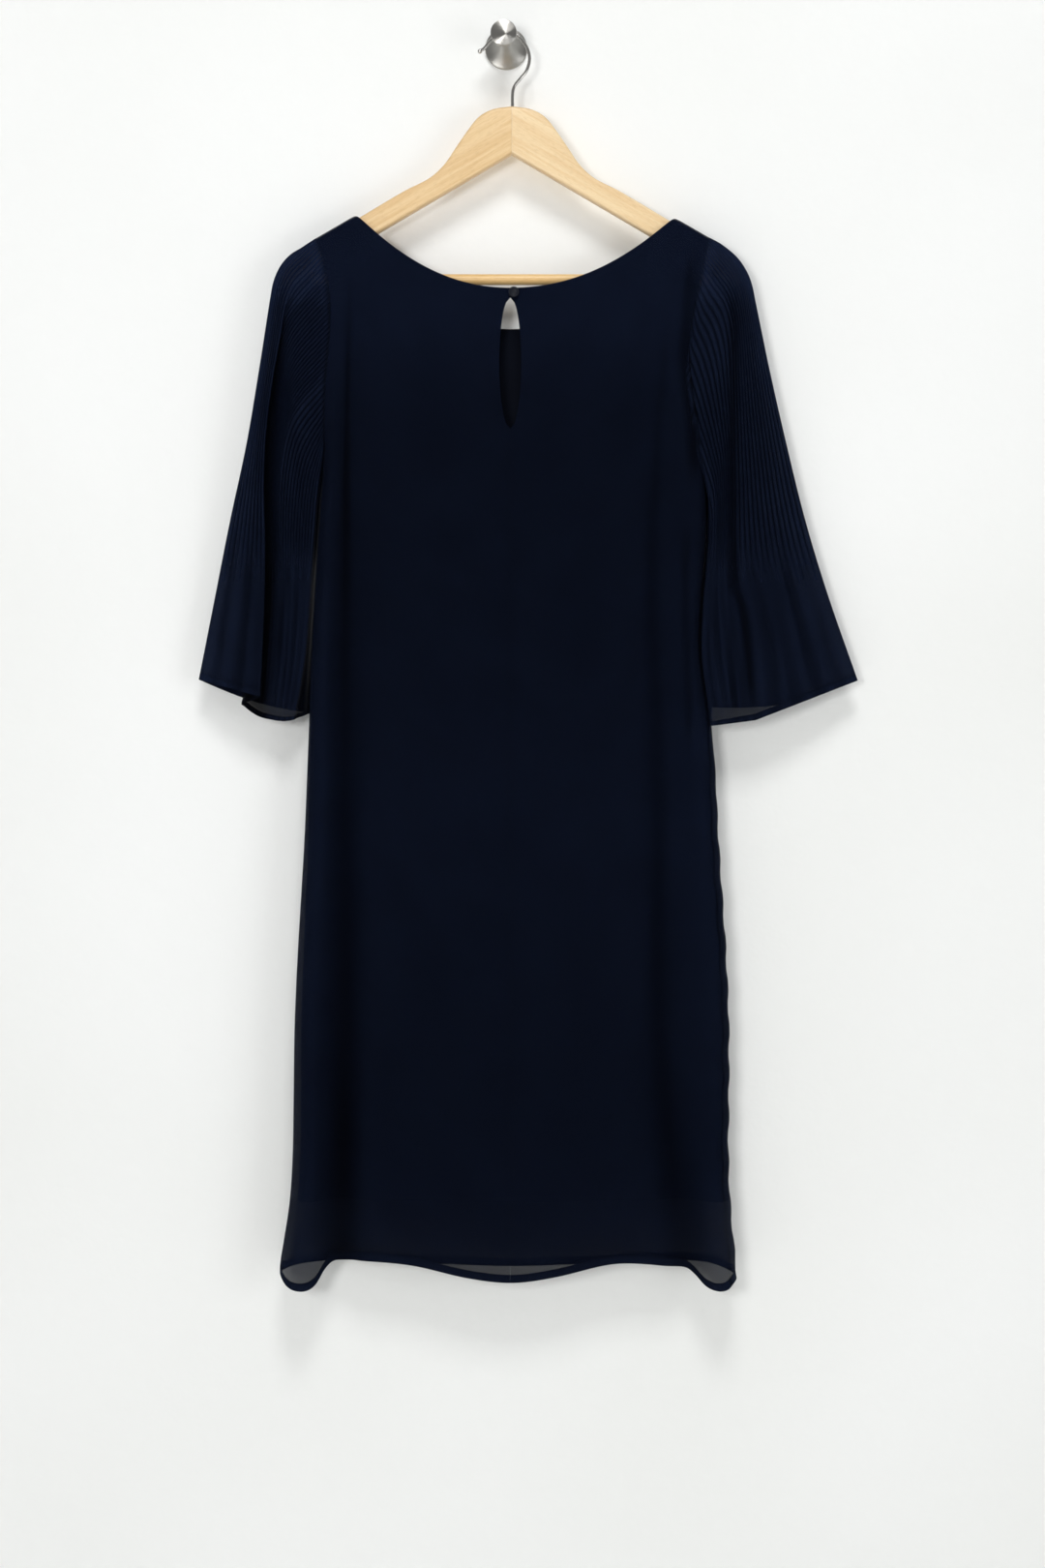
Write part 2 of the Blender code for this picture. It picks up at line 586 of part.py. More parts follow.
def wall_knob(material, collection):
    """A turned knob: its profile, from the middle of the front to the middle of the back, spun."""
    mesh = bpy.data.meshes.new("wall_hook")
    edges = [(i, i + 1) for i in range(len(KNOB_ROWS) - 1)]
    mesh.from_pydata([(radius * MM, 0.0, out * MM) for radius, out in KNOB_ROWS], edges, [])
    obj = bpy.data.objects.new("wall_hook", mesh)
    obj.data.materials.append(material)
    collection.objects.link(obj)
    obj.rotation_euler = (math.radians(90), 0, 0)
    spin = obj.modifiers.new("Turned", "SCREW")
    spin.axis = "Z"
    spin.steps = 24
    spin.render_steps = 24
    spin.use_merge_vertices = True
    spin.merge_threshold = 0.00001
    spin.use_smooth_shade = True
    return obj


def button(material, collection):
    """A small dished button, domed at its rim."""
    mesh = bpy.data.meshes.new("button")
    bm = bmesh.new()
    bmesh.ops.create_cone(bm, cap_ends=True, segments=16, radius1=BUTTON_RADIUS * MM,
                          radius2=BUTTON_RADIUS * MM, depth=BUTTON_THICK * MM)
    rim = [edge for edge in bm.edges if abs(edge.verts[0].co.z - edge.verts[1].co.z) < 1e-6]
    bmesh.ops.bevel(bm, geom=rim, offset=0.8 * MM, segments=2, profile=0.5, affect="EDGES",
                    material=-1)
    bm.to_mesh(mesh)
    bm.free()
    obj = finish_object("button", mesh, material, collection)
    obj.rotation_euler = (math.radians(90), 0, 0)
    obj.location = (BUTTON_X * MM, (BUTTON_FRONT + BUTTON_THICK / 2) * MM, -BUTTON_DOWN * MM)
    return obj


# ---------------------------------------------------------------- the object

for old in list(bpy.data.objects):
    bpy.data.objects.remove(old)

dress = bpy.data.collections.new("Shift dress on a hanger")
helpers = bpy.data.collections.new("Helpers")
for new_collection in (dress, helpers):
    bpy.context.scene.collection.children.link(new_collection)

navy = new_material("Navy chiffon", NAVY, 0.75)
navy_lining = new_material("Navy lining", NAVY_LINING, 0.45)
wood = new_material("Pale wood", WOOD, 0.5)
bar_wood = new_material("Golden dowel", BAR_WOOD, 0.45)
steel = new_material("Brushed steel", STEEL, 0.32, 1.0)

ROUND = (0, 0.25, 0.5, 0.75, 1.0)
HALF_STATIONS = ROUND + (1.5, 2.0, 2.5, 3.0, 3.12, 3.3, 3.6, 4.0, 4.3, 4.6, 4.85, 5.0)
LINING_HALF = ROUND + (1.5, 2.0, 2.5, 3.0, 3.12, 3.3, 3.6, 4.0, 4.5, 5.0)
FRONT_STATIONS = (10.0, 9.85, 9.68, 9.46, 9.2, 9.0, 8.0, 7.0, 6.88, 6.7, 6.0, 5.5, 5.0, 4.5, 4.0,
                  3.3, 3.12, 3.0, 2.0, 1.0, 0.71, 0.43, 0.2, 0.0)
BACK_LEVELS = (BACK_NECK_DOWN, 242, KEYHOLE_TOP, 250, 260, 285, 320, 345, 360, KEYHOLE_BOTTOM)
FRONT_LEVELS = (FRONT_NECK_DOWN, 279, 284, 294, 316, 340, 366)


def mirrored(stations):
    return tuple(10 - place for place in reversed(stations))


def outer_panel(name, face, stations, levels, neck_down, hem, seam_side):
    grid = panel_grid(face, stations, levels, neck_down, hem, seam_side=seam_side)
    cloth(name, grid, moved_in(grid, OUTER_WALL, face), navy, dress)


def lining_panel(name, face, stations, levels, neck_down, seam_side):
    """A lining panel lies inside the outer cloth, so both its faces are made from that one's."""
    grid = panel_grid(face, stations, levels, neck_down, None, True, seam_side)
    cloth(name, moved_in(grid, LINING_IN, face), moved_in(grid, LINING_IN + LINING_WALL, face),
          navy_lining, dress)


outer_panel("back_left", "back", HALF_STATIONS, BACK_LEVELS, BACK_NECK_DOWN, BACK_HEM_ROWS, -1)
outer_panel("back_right", "back", mirrored(HALF_STATIONS), BACK_LEVELS, BACK_NECK_DOWN,
            BACK_HEM_ROWS, 1)
outer_panel("front", "front", FRONT_STATIONS, FRONT_LEVELS, FRONT_NECK_DOWN, FRONT_HEM_ROWS, 0)
lining_panel("lining_back_left", "back", LINING_HALF, BACK_LEVELS, BACK_NECK_DOWN, -1)
lining_panel("lining_back_right", "back", mirrored(LINING_HALF), BACK_LEVELS, BACK_NECK_DOWN, 1)
lining_panel("lining_front", "front", FRONT_STATIONS, FRONT_LEVELS, FRONT_NECK_DOWN, 0)
cloth("sleeve_left", *sleeve_walls("left", LEFT_SLEEVE_ROWS), navy, dress, tube=True)
cloth("sleeve_right", *sleeve_walls("right", RIGHT_SLEEVE_ROWS), navy, dress, tube=True)

hanger_arm("hanger_arm_left", -1, wood, dress)
hanger_arm("hanger_arm_right", 1, wood, dress)
rod("hanger_bar", [(HANGER_X - BAR_HALF, MID_DEPTH, -BAR_DOWN),
                   (HANGER_X + BAR_HALF, MID_DEPTH, -BAR_DOWN)], BAR_RADIUS, bar_wood, dress, 4)
hanger_hook(steel, dress)
wall_knob(steel, dress)
button(navy, dress)
loop_angles = [math.radians(LOOP_OPEN / 2 - 180 + (360 - LOOP_OPEN) * i / 12) for i in range(13)]
rod("button_loop", [(BUTTON_X + LOOP_BEND * math.cos(angle), LOOP_DEPTH,
                     -BUTTON_DOWN + LOOP_BEND * math.sin(angle)) for angle in loop_angles],
    LOOP_RADIUS, navy, dress, 1)
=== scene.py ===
"""A shift dress on a wooden hanger, hung by its wire hook from a steel wall knob.

The dress shows its back. All sizes are in millimetres from the middle of the knob's flat back, on
the wall, until a mesh is made: +X to the right, +Y into the wall, and "down" is the drop below.
"""
import math
from bisect import bisect_right

import bmesh
import bpy
import numpy as np
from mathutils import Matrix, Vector


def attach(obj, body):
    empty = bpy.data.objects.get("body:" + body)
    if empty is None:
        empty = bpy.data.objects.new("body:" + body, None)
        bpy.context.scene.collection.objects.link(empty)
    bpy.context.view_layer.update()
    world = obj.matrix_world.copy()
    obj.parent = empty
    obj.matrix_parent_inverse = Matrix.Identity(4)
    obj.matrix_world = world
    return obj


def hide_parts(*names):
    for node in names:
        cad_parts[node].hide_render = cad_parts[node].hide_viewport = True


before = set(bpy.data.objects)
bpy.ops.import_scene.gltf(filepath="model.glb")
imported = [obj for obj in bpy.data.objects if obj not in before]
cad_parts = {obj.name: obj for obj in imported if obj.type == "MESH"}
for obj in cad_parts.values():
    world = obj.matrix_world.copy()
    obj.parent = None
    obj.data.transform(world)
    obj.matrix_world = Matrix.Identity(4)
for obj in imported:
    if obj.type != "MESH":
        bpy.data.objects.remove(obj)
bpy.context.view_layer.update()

# ------------------------ wall, floor, light and camera
# A plain painted wall with the unevenness of a roller, a pale floor below the view, a strong soft
# light a little left of the camera, a weaker one far to the right, a third above the camera and one
# behind the wall for the garment's far side. The camera looks straight at the wall.
MM = 0.001
WALL_HALF = 3.0
WALL_FACE = 0.0004          # the paint lies this far behind the knob's plate
FLOOR_DROP = 1.56
VIEW_HALF_HEIGHT = 739.5
VIEW_DISTANCE = 2370.0
CAMERA_PLACE = (0.0155, -2.400, -0.7018)


def set_sockets(tree, node, sockets):
    """Gives a node's sockets their values, or links them to the outputs that feed them."""
    for name, value in sockets.items():
        if isinstance(value, bpy.types.NodeSocket):
            tree.links.new(value, node.inputs[name])
        else:
            node.inputs[name].default_value = value


def new_material(name, colour, roughness, **sockets):
    """A material with its Principled shader's constants, and the shader and tree to add to."""
    material = bpy.data.materials.new(name)
    material.use_nodes = True
    tree = material.node_tree
    shader = tree.nodes["Principled BSDF"]
    set_sockets(tree, shader, {"Base Color": (*colour, 1.0), "Roughness": roughness})
    set_sockets(tree, shader, {socket.replace("_", " "): sockets[socket] for socket in sockets})
    return material, tree, shader


def add_node(tree, kind, sockets=None, **settings):
    node = tree.nodes.new(kind)
    for key, value in settings.items():
        setattr(node, key, value)
    set_sockets(tree, node, sockets or {})
    return node


def noise(tree, place, **sockets):
    """A cloudy pattern over the coordinates that place gives."""
    return add_node(tree, "ShaderNodeTexNoise", {"Vector": place, **sockets}).outputs["Fac"]


def tinted(tree, factor, low, high, start=0.3, end=0.7):
    """A ramp between two colours, driven by a pattern."""
    ramp = add_node(tree, "ShaderNodeValToRGB", {"Fac": factor})
    for element, place, colour in zip(ramp.color_ramp.elements, (start, end), (low, high)):
        element.position = place
        element.color = (*colour, 1.0)
    return ramp.outputs["Color"]


def bumped(tree, shader, height, strength, distance):
    bump = add_node(tree, "ShaderNodeBump",
                    {"Height": height, "Strength": strength, "Distance": distance})
    set_sockets(tree, shader, {"Normal": bump.outputs["Normal"]})


def pattern_place(tree, size=(1, 1, 1), turn=(0, 0, 0), source="Object"):
    """Coordinates for a pattern that is turned and then stretched to a size on each axis."""
    place = add_node(tree, "ShaderNodeTexCoord").outputs[source]
    return add_node(tree, "ShaderNodeMapping", {"Vector": place, "Scale": size, "Rotation": turn},
                    vector_type="TEXTURE").outputs["Vector"]


def new_object(name, data):
    made = bpy.data.objects.new(name, data)
    bpy.context.scene.collection.objects.link(made)
    return made


def mesh_object(name, bm, materials):
    mesh = bpy.data.meshes.new(name)
    bm.to_mesh(mesh)
    bm.free()
    for material in materials:
        mesh.materials.append(material)
    return new_object(name, mesh)


def stage_plane(name, corners, material):
    bm = bmesh.new()
    bm.faces.new([bm.verts.new(corner) for corner in corners])
    plane = mesh_object(name, bm, [material])
    return plane


paint, tree, shader = new_material("Wall paint", (0.83, 0.84, 0.83), 0.85, Specular_IOR_Level=0.1)
clouds = noise(tree, pattern_place(tree), Scale=2.2, Detail=1.0, Roughness=0.5)
roller = noise(tree, pattern_place(tree), Scale=60.0, Detail=2.0, Roughness=0.6)
set_sockets(tree, shader, {"Base Color": tinted(tree, clouds, (0.80, 0.81, 0.795),
                                                (0.85, 0.86, 0.855))})
bumped(tree, shader, roller, 0.12, 0.004)
# The wall is painted on its front alone and throws no shadow, so the garment can be seen and lit
# from behind it.
facing = add_node(tree, "ShaderNodeNewGeometry").outputs["Backfacing"]
clear = add_node(tree, "ShaderNodeBsdfTransparent").outputs["BSDF"]
one_sided = add_node(tree, "ShaderNodeMixShader", {0: facing, 1: shader.outputs["BSDF"], 2: clear})
set_sockets(tree, tree.nodes["Material Output"], {"Surface": one_sided.outputs["Shader"]})
floor_paint, _, _ = new_material("Floor", (0.80, 0.80, 0.79), 0.7)

wall_foot = [(-WALL_HALF, WALL_FACE, -FLOOR_DROP), (WALL_HALF, WALL_FACE, -FLOOR_DROP)]
wall_plane = stage_plane("wall", wall_foot + [(WALL_HALF, WALL_FACE, WALL_HALF),
                                              (-WALL_HALF, WALL_FACE, WALL_HALF)], paint)
wall_plane.visible_shadow = False
stage_plane("floor", [(-WALL_HALF, -2 * WALL_HALF, -FLOOR_DROP),
                      (WALL_HALF, -2 * WALL_HALF, -FLOOR_DROP)] + wall_foot[::-1], floor_paint)


def soft_light(name, place, aim, size, power, colour=(1, 1, 1)):
    lamp = bpy.data.lights.new(name, "AREA")
    lamp.size = size
    lamp.energy = power
    lamp.color = colour
    light = new_object(name, lamp)
    light.location = place
    light.visible_camera = False
    toward = np.array(aim) - np.array(place)
    light.rotation_euler = (math.atan2(math.hypot(toward[0], toward[1]), -toward[2]), 0,
                            math.atan2(-toward[0], toward[1]))


soft_light("left softbox", (-0.75, -3.00, -0.50), (0.0, 0.0, -0.55), 0.6, 32, (1.0, 0.995, 0.985))
soft_light("right softbox", (2.10, -2.40, -0.80), (0.0, 0.0, -0.60), 1.2, 14, (0.98, 0.99, 1.0))
soft_light("above the camera", (0.1, -2.2, 1.8), (0.0, 0.0, -0.15), 0.9, 41)
soft_light("behind the wall", (0.9, 3.0, 0.6), (0.0, 0.0, -0.6), 1.6, 48)
world = bpy.data.worlds.new("Studio")
world.use_nodes = True
set_sockets(world.node_tree, world.node_tree.nodes["Background"],
            {"Color": (1.0, 1.0, 1.0, 1.0), "Strength": 0.28})
bpy.context.scene.world = world
bpy.context.scene.view_settings.view_transform = "Standard"

camera_data = bpy.data.cameras.new("camera")
camera_data.sensor_fit = "VERTICAL"
camera_data.angle = 2 * math.atan(VIEW_HALF_HEIGHT / VIEW_DISTANCE)
camera = new_object("camera", camera_data)
camera.location = CAMERA_PLACE
camera.rotation_euler = (math.pi / 2, 0, 0)
bpy.context.scene.camera = camera

# ------------------------ wall knob
# A steel knob turned in one piece: a thin round plate on the wall, a trumpet neck, which leans up
# and left a little, and a round flat front. It is brushed in rings, so light fans out on it.
KNOB_ROWS = (               # radius, distance from the wall
    (11.4, 50), (12.1, 49.6), (12.3, 48.9), (12.3, 46.6), (12, 46), (10.4, 43.8),
    (8.7, 41.7), (7.4, 39.6), (6.4, 37), (5.7, 34), (5.3, 29), (5.5, 26), (6, 23),
    (6.7, 19.8), (7.7, 16.5), (9, 13.3), (10.6, 10.6), (12.4, 8.3), (14.5, 6.3), (16.6, 4.7),
    (18.6, 3.5), (19.6, 3.1), (20, 2.5), (20.1, 1.8), (20.1, 0.3),
)
KNOB_SIDES = 96
KNOB_LEAN = (-2.3, 1.5)      # how far the front stands off to the side and up


def finish_piece(name, bm, material, replaced=(), smooth=60):
    """Makes a piece of a bmesh, shades it, and puts it on the part's one body."""
    bmesh.ops.recalc_face_normals(bm, faces=bm.faces)
    piece = mesh_object(name, bm, material if isinstance(material, tuple) else (material,))
    piece.data.shade_smooth()
    piece.data.set_sharp_from_angle(angle=math.radians(smooth))
    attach(piece, "root")
    if replaced:
        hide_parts(*replaced)
    return piece


def turned(bm, rows, sides):
    """Turns a profile, of rows of radius and depth, round the Y axis."""
    profile = [bm.verts.new((radius * MM, depth * MM, 0)) for radius, depth in rows]
    edges = [bm.edges.new(pair) for pair in zip(profile, profile[1:])]
    bmesh.ops.spin(bm, geom=profile + edges, cent=(0, 0, 0), axis=(0, 1, 0), angle=2 * math.pi,
                   steps=sides, use_merge=True)
    bmesh.ops.remove_doubles(bm, verts=bm.verts, dist=1e-6)


steel, tree, shader = new_material("Brushed steel", (0.56, 0.55, 0.52), 0.31, Metallic=1.0,
                                   Anisotropic=1.0, Anisotropic_Rotation=0.25)
around_axis = add_node(tree, "ShaderNodeTangent", direction_type="RADIAL", axis="Y")
rings = add_node(tree, "ShaderNodeTexWave",
                 {"Vector": pattern_place(tree), "Scale": 700.0, "Distortion": 2.0, "Detail": 1.0,
                  "Detail Scale": 4.0}, wave_type="RINGS", rings_direction="Y").outputs["Fac"]
set_sockets(tree, shader, {
    "Tangent": around_axis.outputs["Tangent"],
    "Base Color": tinted(tree, rings, (0.34, 0.33, 0.31), (0.52, 0.51, 0.48), 0.0, 1.0)})
bumped(tree, shader, rings, 0.12, 0.0002)

bm = bmesh.new()
turned(bm, [(radius, -out) for radius, out in KNOB_ROWS], KNOB_SIDES)
caps = bmesh.ops.holes_fill(bm, edges=[edge for edge in bm.edges if edge.is_boundary])["faces"]
for vert in bmesh.ops.poke(bm, faces=caps)["verts"]:
    vert.co.x = vert.co.z = 0
for vert in bm.verts:
    lean = (vert.co.y / MM / KNOB_ROWS[0][1]) ** 2 * MM
    vert.co += Vector((KNOB_LEAN[0] * lean, 0, KNOB_LEAN[1] * lean))
finish_piece("wall_knob", bm, steel, ["wall_hook"], 40)

# ------------------------ hanger hook
# Bright steel wire bent into an open hook, with a round bead on its tip. It hangs over the knob's
# neck and goes down into the hanger's glued joint.
MID_DEPTH = -30.0           # plane of the hanger, the hook and the shoulder seams
WIRE_RADIUS = 1.6
BEAD_RADIUS = 2.3
HOOK_ROUTE = (              # x, down
    (-24.7, 10.7), (-20.3, 7.6), (-16.8, 3.2), (-12.6, -1.4), (-3, -7.8), (9.1, -5),
    (18.2, 4.5), (22.2, 16.5), (19.6, 28.5), (13.5, 36.5), (8, 43.5), (6.2, 50), (6, 63),
)


def smooth_read(knots, values, at):
    """The smooth curve through values, numbers or points, set at rising knots."""
    at = min(max(at, knots[0]), knots[-1])
    i = min(bisect_right(knots, at) - 1, len(knots) - 2)

    def slope(j):
        before, after = max(j - 1, 0), min(j + 1, len(knots) - 1)
        return (values[after] - values[before]) / (knots[after] - knots[before])

    step = knots[i + 1] - knots[i]
    t = (at - knots[i]) / step
    return ((1 + 2 * t) * (1 - t) ** 2 * values[i] + t * (1 - t) ** 2 * step * slope(i)
            + t * t * (3 - 2 * t) * values[i + 1] - t * t * (1 - t) * step * slope(i + 1))


def through(points):
    """A smooth path through points, as a function of the share of its length."""
    points = [np.array(point, dtype=float) for point in points]
    knots = [0.0]
    for before, after in zip(points, points[1:]):
        knots.append(knots[-1] + float(np.linalg.norm(after - before)))
    return lambda t: smooth_read(knots, points, t * knots[-1])


def round_wire(bm, path, radius, steps, sides):
    """Adds a round wire with closed ends along a path in a plane that faces the viewer."""
    made = bmesh.ops.create_grid(bm, x_segments=sides, y_segments=steps, size=0.5)["verts"]
    points = [path(i / steps) for i in range(steps + 1)]
    for vert in made:
        i, turn = round((vert.co.y + 0.5) * steps), 2 * math.pi * (vert.co.x + 0.5)
        along = points[min(i + 1, steps)] - points[max(i - 1, 0)]
        along /= np.linalg.norm(along)
        across = np.cross(along, (0.0, 1.0, 0.0))
        across /= np.linalg.norm(across)
        third = np.cross(across, along)
        vert.co = (points[i] + radius * (math.cos(turn) * across + math.sin(turn) * third)) * MM
    bmesh.ops.remove_doubles(bm, verts=made, dist=1e-6)
    bmesh.ops.holes_fill(bm, edges=[edge for edge in bm.edges if edge.is_boundary])


wire_steel, tree, shader = new_material("Bright wire", (0.52, 0.51, 0.49), 0.13, Metallic=1.0)
drawn = noise(tree, pattern_place(tree, (1, 1, 10)), Scale=300.0, Detail=2.0)
set_sockets(tree, shader, {"Base Color": tinted(tree, drawn, (0.42, 0.41, 0.39),
                                                (0.62, 0.61, 0.59))})
bm = bmesh.new()
hook_points = [(x, MID_DEPTH, -down) for x, down in HOOK_ROUTE]
round_wire(bm, through(hook_points), WIRE_RADIUS, 90, 16)
bead = bmesh.ops.create_uvsphere(bm, u_segments=24, v_segments=16, radius=BEAD_RADIUS * MM)["verts"]
bmesh.ops.translate(bm, verts=bead, vec=[value * MM for value in hook_points[0]])
finish_piece("hook_wire", bm, wire_steel, ["hanger_hook"])

# ------------------------ hanger arms
# Two arms sawn from pale beech board and glued together at the middle, with rounded edges and a
# satin lacquer. The grain runs along each arm, so the joint shows as a fine upright line.
HANGER_X = 5.5
ARM_THICK = 12.0
ARM_EDGE = 3.2
ARM_JOINT_GAP = 0.16
ARM_APEX_DOWN = 108.6
ARM_TOP = (                 # from the glued joint outwards: distance out, down
    (0, 63.4), (17.8, 66.1), (31.1, 73.2), (42, 86.4), (53, 102.4), (64, 118.4),
    (77.6, 130.9), (99.6, 142.2), (119.6, 153.8), (141.6, 167), (204, 204), (210.5, 208.8),
    (214.8, 215), (216.8, 222.2), (216, 229.5), (211.5, 232.9),
)
ARM_STEPS = 90


def beech(name, pale, warm, turn, ring_scale=9.0):
    """Lacquered wood: long streaks and pores along the grain, which lies along X once turned."""
    wood, tree, shader = new_material(name, pale, 0.42, Coat_Weight=0.25, Coat_Roughness=0.25,
                                      Specular_IOR_Level=0.35)
    streaks = noise(tree, pattern_place(tree, (1 / ring_scale, 1 / 90, 1 / 230), turn),
                    Scale=1.0, Detail=3.0, Roughness=0.6, Distortion=0.5)
    pores = noise(tree, pattern_place(tree, (1 / 160, 1 / 1500, 1 / 1500), turn),
                  Scale=1.0, Detail=2.0, Roughness=0.5)
    flecks = add_node(tree, "ShaderNodeMix", {
        "Factor": 0.16, "A": tinted(tree, streaks, warm, pale, 0.32, 0.62),
        "B": tinted(tree, pores, (0.45, 0.33, 0.2), (1, 1, 1), 0.36, 0.5)},
        data_type="RGBA", blend_type="MULTIPLY")
    set_sockets(tree, shader, {"Base Color": flecks.outputs["Result"]})
    bumped(tree, shader, pores, 0.08, 0.0004)
    return wood


ARM_SLOPE = math.atan2(ARM_TOP[-1][1] - ARM_APEX_DOWN, ARM_TOP[-1][0])
for side, way, pale, warm in (("left", -1, (0.745, 0.545, 0.30), (0.65, 0.43, 0.205)),
                              ("right", 1, (0.80, 0.62, 0.375), (0.72, 0.51, 0.275))):
    beech_arm = beech("Beech, " + side + " arm", pale, warm, (0, way * ARM_SLOPE, 0))
    top = through([(out, 0.0, down) for out, down in ARM_TOP])
    outline = [top(i / ARM_STEPS) for i in range(ARM_STEPS + 1)] + [(0.0, 0.0, ARM_APEX_DOWN)]
    bm = bmesh.new()
    front = (MID_DEPTH - ARM_THICK / 2) * MM
    ring = [bm.verts.new(((HANGER_X + way * max(out, ARM_JOINT_GAP / 2)) * MM, front, -down * MM))
            for out, _, down in outline]
    back = bmesh.ops.extrude_face_region(bm, geom=[bm.faces.new(ring)])["geom"]
    bmesh.ops.translate(bm, vec=(0, ARM_THICK * MM, 0),
                        verts=[item for item in back if isinstance(item, bmesh.types.BMVert)])
    joint = HANGER_X + way * ARM_JOINT_GAP / 2
    bmesh.ops.recalc_face_normals(bm, faces=bm.faces)
    rims = [edge for edge in bm.edges
            if abs(edge.verts[0].co.y - edge.verts[1].co.y) < 1e-6
            and not all(abs(vert.co.x / MM - joint) < 0.01 for vert in edge.verts)]
    bmesh.ops.bevel(bm, geom=rims, offset=ARM_EDGE * MM, segments=5, profile=0.5, affect="EDGES",
                    clamp_overlap=True, material=-1)
    finish_piece("arm_" + side, bm, beech_arm, ["hanger_arm_" + side], 35)

# ------------------------ hanger bar
# A round dowel of a more golden beech between the arms, with its ends let into them.
BAR_RADIUS = 5.1
BAR_DOWN = 226.1
BAR_HALF = 189.0
BAR_BEVEL = 0.6
dowel = beech("Golden dowel", (0.80, 0.56, 0.27), (0.70, 0.44, 0.17), (0, 0, 0), 5.0)
bm = bmesh.new()
bmesh.ops.create_cone(bm, cap_ends=True, segments=48, radius1=BAR_RADIUS * MM,
                      radius2=BAR_RADIUS * MM, depth=2 * BAR_HALF * MM)
ends = [edge for edge in bm.edges if abs(edge.verts[0].co.z - edge.verts[1].co.z) < 1e-6]
bmesh.ops.bevel(bm, geom=ends, offset=BAR_BEVEL * MM, segments=3, profile=0.5, affect="EDGES",
                material=-1)
for vert in bm.verts:
    x, y, z = vert.co
    vert.co = (z + HANGER_X * MM, y + MID_DEPTH * MM, -x - BAR_DOWN * MM)
finish_piece("bar", bm, dowel, ["hanger_bar"])

# ------------------------ outer back
# Two panels of thin dark navy crepe chiffon, sewn together down the centre back and open above it
# in a keyhole. The cloth hangs from the shoulder seams on the hanger's arms. It rolls over at both
# sides, and a long soft fold runs down beside each roll.
OUTER_WALL = 0.35
SEAM_GAP = 0.04
BACK_SEAM_X = 4.0
NECK_LEFT = (-141.0, 165.4)         # x, down
NECK_RIGHT = (158.5, 167.9)
SHOULDER_LEFT = (-179.9, 187.8)     # where the sleeve's head is sewn on
SHOULDER_RIGHT = (191.7, 186.9)
BACK_NECK_DOWN = 236.0
FRONT_NECK_DOWN = 271.0
NECK_POWER = 2.1
NECK_ROUND = 5.5
RIDGE_ROUND = 5.0           # the cloth rounds off over the hanger's arm in this height
UNDERARM_DOWN = 391.0
ARMHOLE_ROUND = 45.0
SIDE_ROUND = 16.0
ROUND_SHARE = 0.42
FOLD_HALF = 13.0
SLOPE_SHARE = 0.3
FOLD_LIP = 24.0
PUCKER = 0.8                # small waves that the side seam draws into the right side
PUCKER_LENGTH = 41.0
PUCKER_START = (620.0, 770.0)       # the drops between which they grow
FRONT_DENTS = ((-104.0, 42.0, 4.5), (92.0, 46.0, 4.0))      # x, half width, depth
DENT_START = (300.0, 900.0)
KEYHOLE_TOP = 246.0
KEYHOLE_BOTTOM = 368.0
KEYHOLE_HALF = 10.4
KEYHOLE_POWER = 0.42
SIDE_ROWS = (               # down, left side's x, right side's x
    (187, -179.9, 191.7), (206, -173.5, 187.2), (227, -168, 182.4), (249, -165.3, 177.6),
    (275, -165.3, 173.4), (297, -167.1, 172.4), (331, -169.8, 175.4), (369, -170.8, 180.8),
    (406, -172.6, 187.8), (468, -177.1, 188.6), (533, -180.9, 184.2), (577, -183.4, 183.4),
    (640, -185.5, 192.6), (686, -187.2, 197), (752, -189.9, 200.2), (808, -193.1, 203.9),
    (863, -196.3, 207.4), (929, -199.1, 209.9), (998, -200, 209.8), (1050, -200.8, 209.4),
    (1094, -203.6, 211), (1131, -209.1, 214.2), (1154, -212.6, 216.2), (1175, -212, 218.4),
)
FOLD_COLUMNS = ("down", "left_fold", "right_fold", "roll", "left_depth", "right_depth",
                "flat", "middle", "front", "side")
FOLD_ROWS = (
    (165, -141, 158.5, -39.6, -39.6, -39.6, -39.6, -39.6, -20.4, -30),
    (240, -146.5, 152, -41, -41, -41.5, -42, -42.5, -19, -30),
    (330, -148.8, 147.5, -44, -42, -43, -44.5, -45, -17.5, -30),
    (420, -150.1, 146.8, -47.5, -42, -43, -46.5, -47.5, -16, -30.5),
    (560, -150.8, 148, -52, -41.5, -42.5, -48.5, -50, -14.5, -31),
    (750, -151, 152.5, -57, -40.5, -41.5, -50, -53, -13, -32),
    (950, -151.9, 149.5, -61, -39.5, -40.5, -50.5, -55, -11.5, -33),
    (1060, -153.5, 156.5, -63.5, -39, -40, -51, -56.5, -11, -34),
    (1170, -155.8, 170, -66, -38, -40, -51, -58, -10.5, -35),
)
BACK_HEM_ROWS = (           # x, down
    (-212, 1161), (-205, 1169), (-196, 1173), (-185, 1173.5), (-177, 1168.5), (-170, 1156.5),
    (-163, 1150), (-150, 1148), (-132, 1148), (-87, 1152), (-35, 1163), (6, 1167),
    (46, 1162), (88, 1152.5), (108, 1150), (135, 1151), (159, 1154), (171, 1156.5),
    (178, 1162.5), (185, 1170.5), (194, 1173.5), (204, 1172), (212, 1167), (218, 1164.5),
)
SEAM_TURN_ROWS = ((187, 0.0), (391, 0.0), (470, 12.0), (690, 54.0), (800, 60.0), (1175, 60.0))
SEAM_TURN_GAP = 0.006
LINING_TURN_GAP = 0.10
LINING_SHORT_ROWS = ((187, 0.3), (600, 0.3), (700, 1.5), (850, 4.5), (1000, 6.0), (1091, 6.5))
LINING_HEM_DOWN = 1091.0
ROWS_ABOVE, ROWS_BELOW, ROWS_HEM = 34, 60, 16
SKIRT_END = 1010.0          # from here the rows lead down to the hem's own line
FOOT_DOWN = 1160.0
NECK_BLEND = 60.0           # over this height the rows close up towards the shoulder seam
HEM_BAND = 7.6              # the hem, turned up twice and stitched
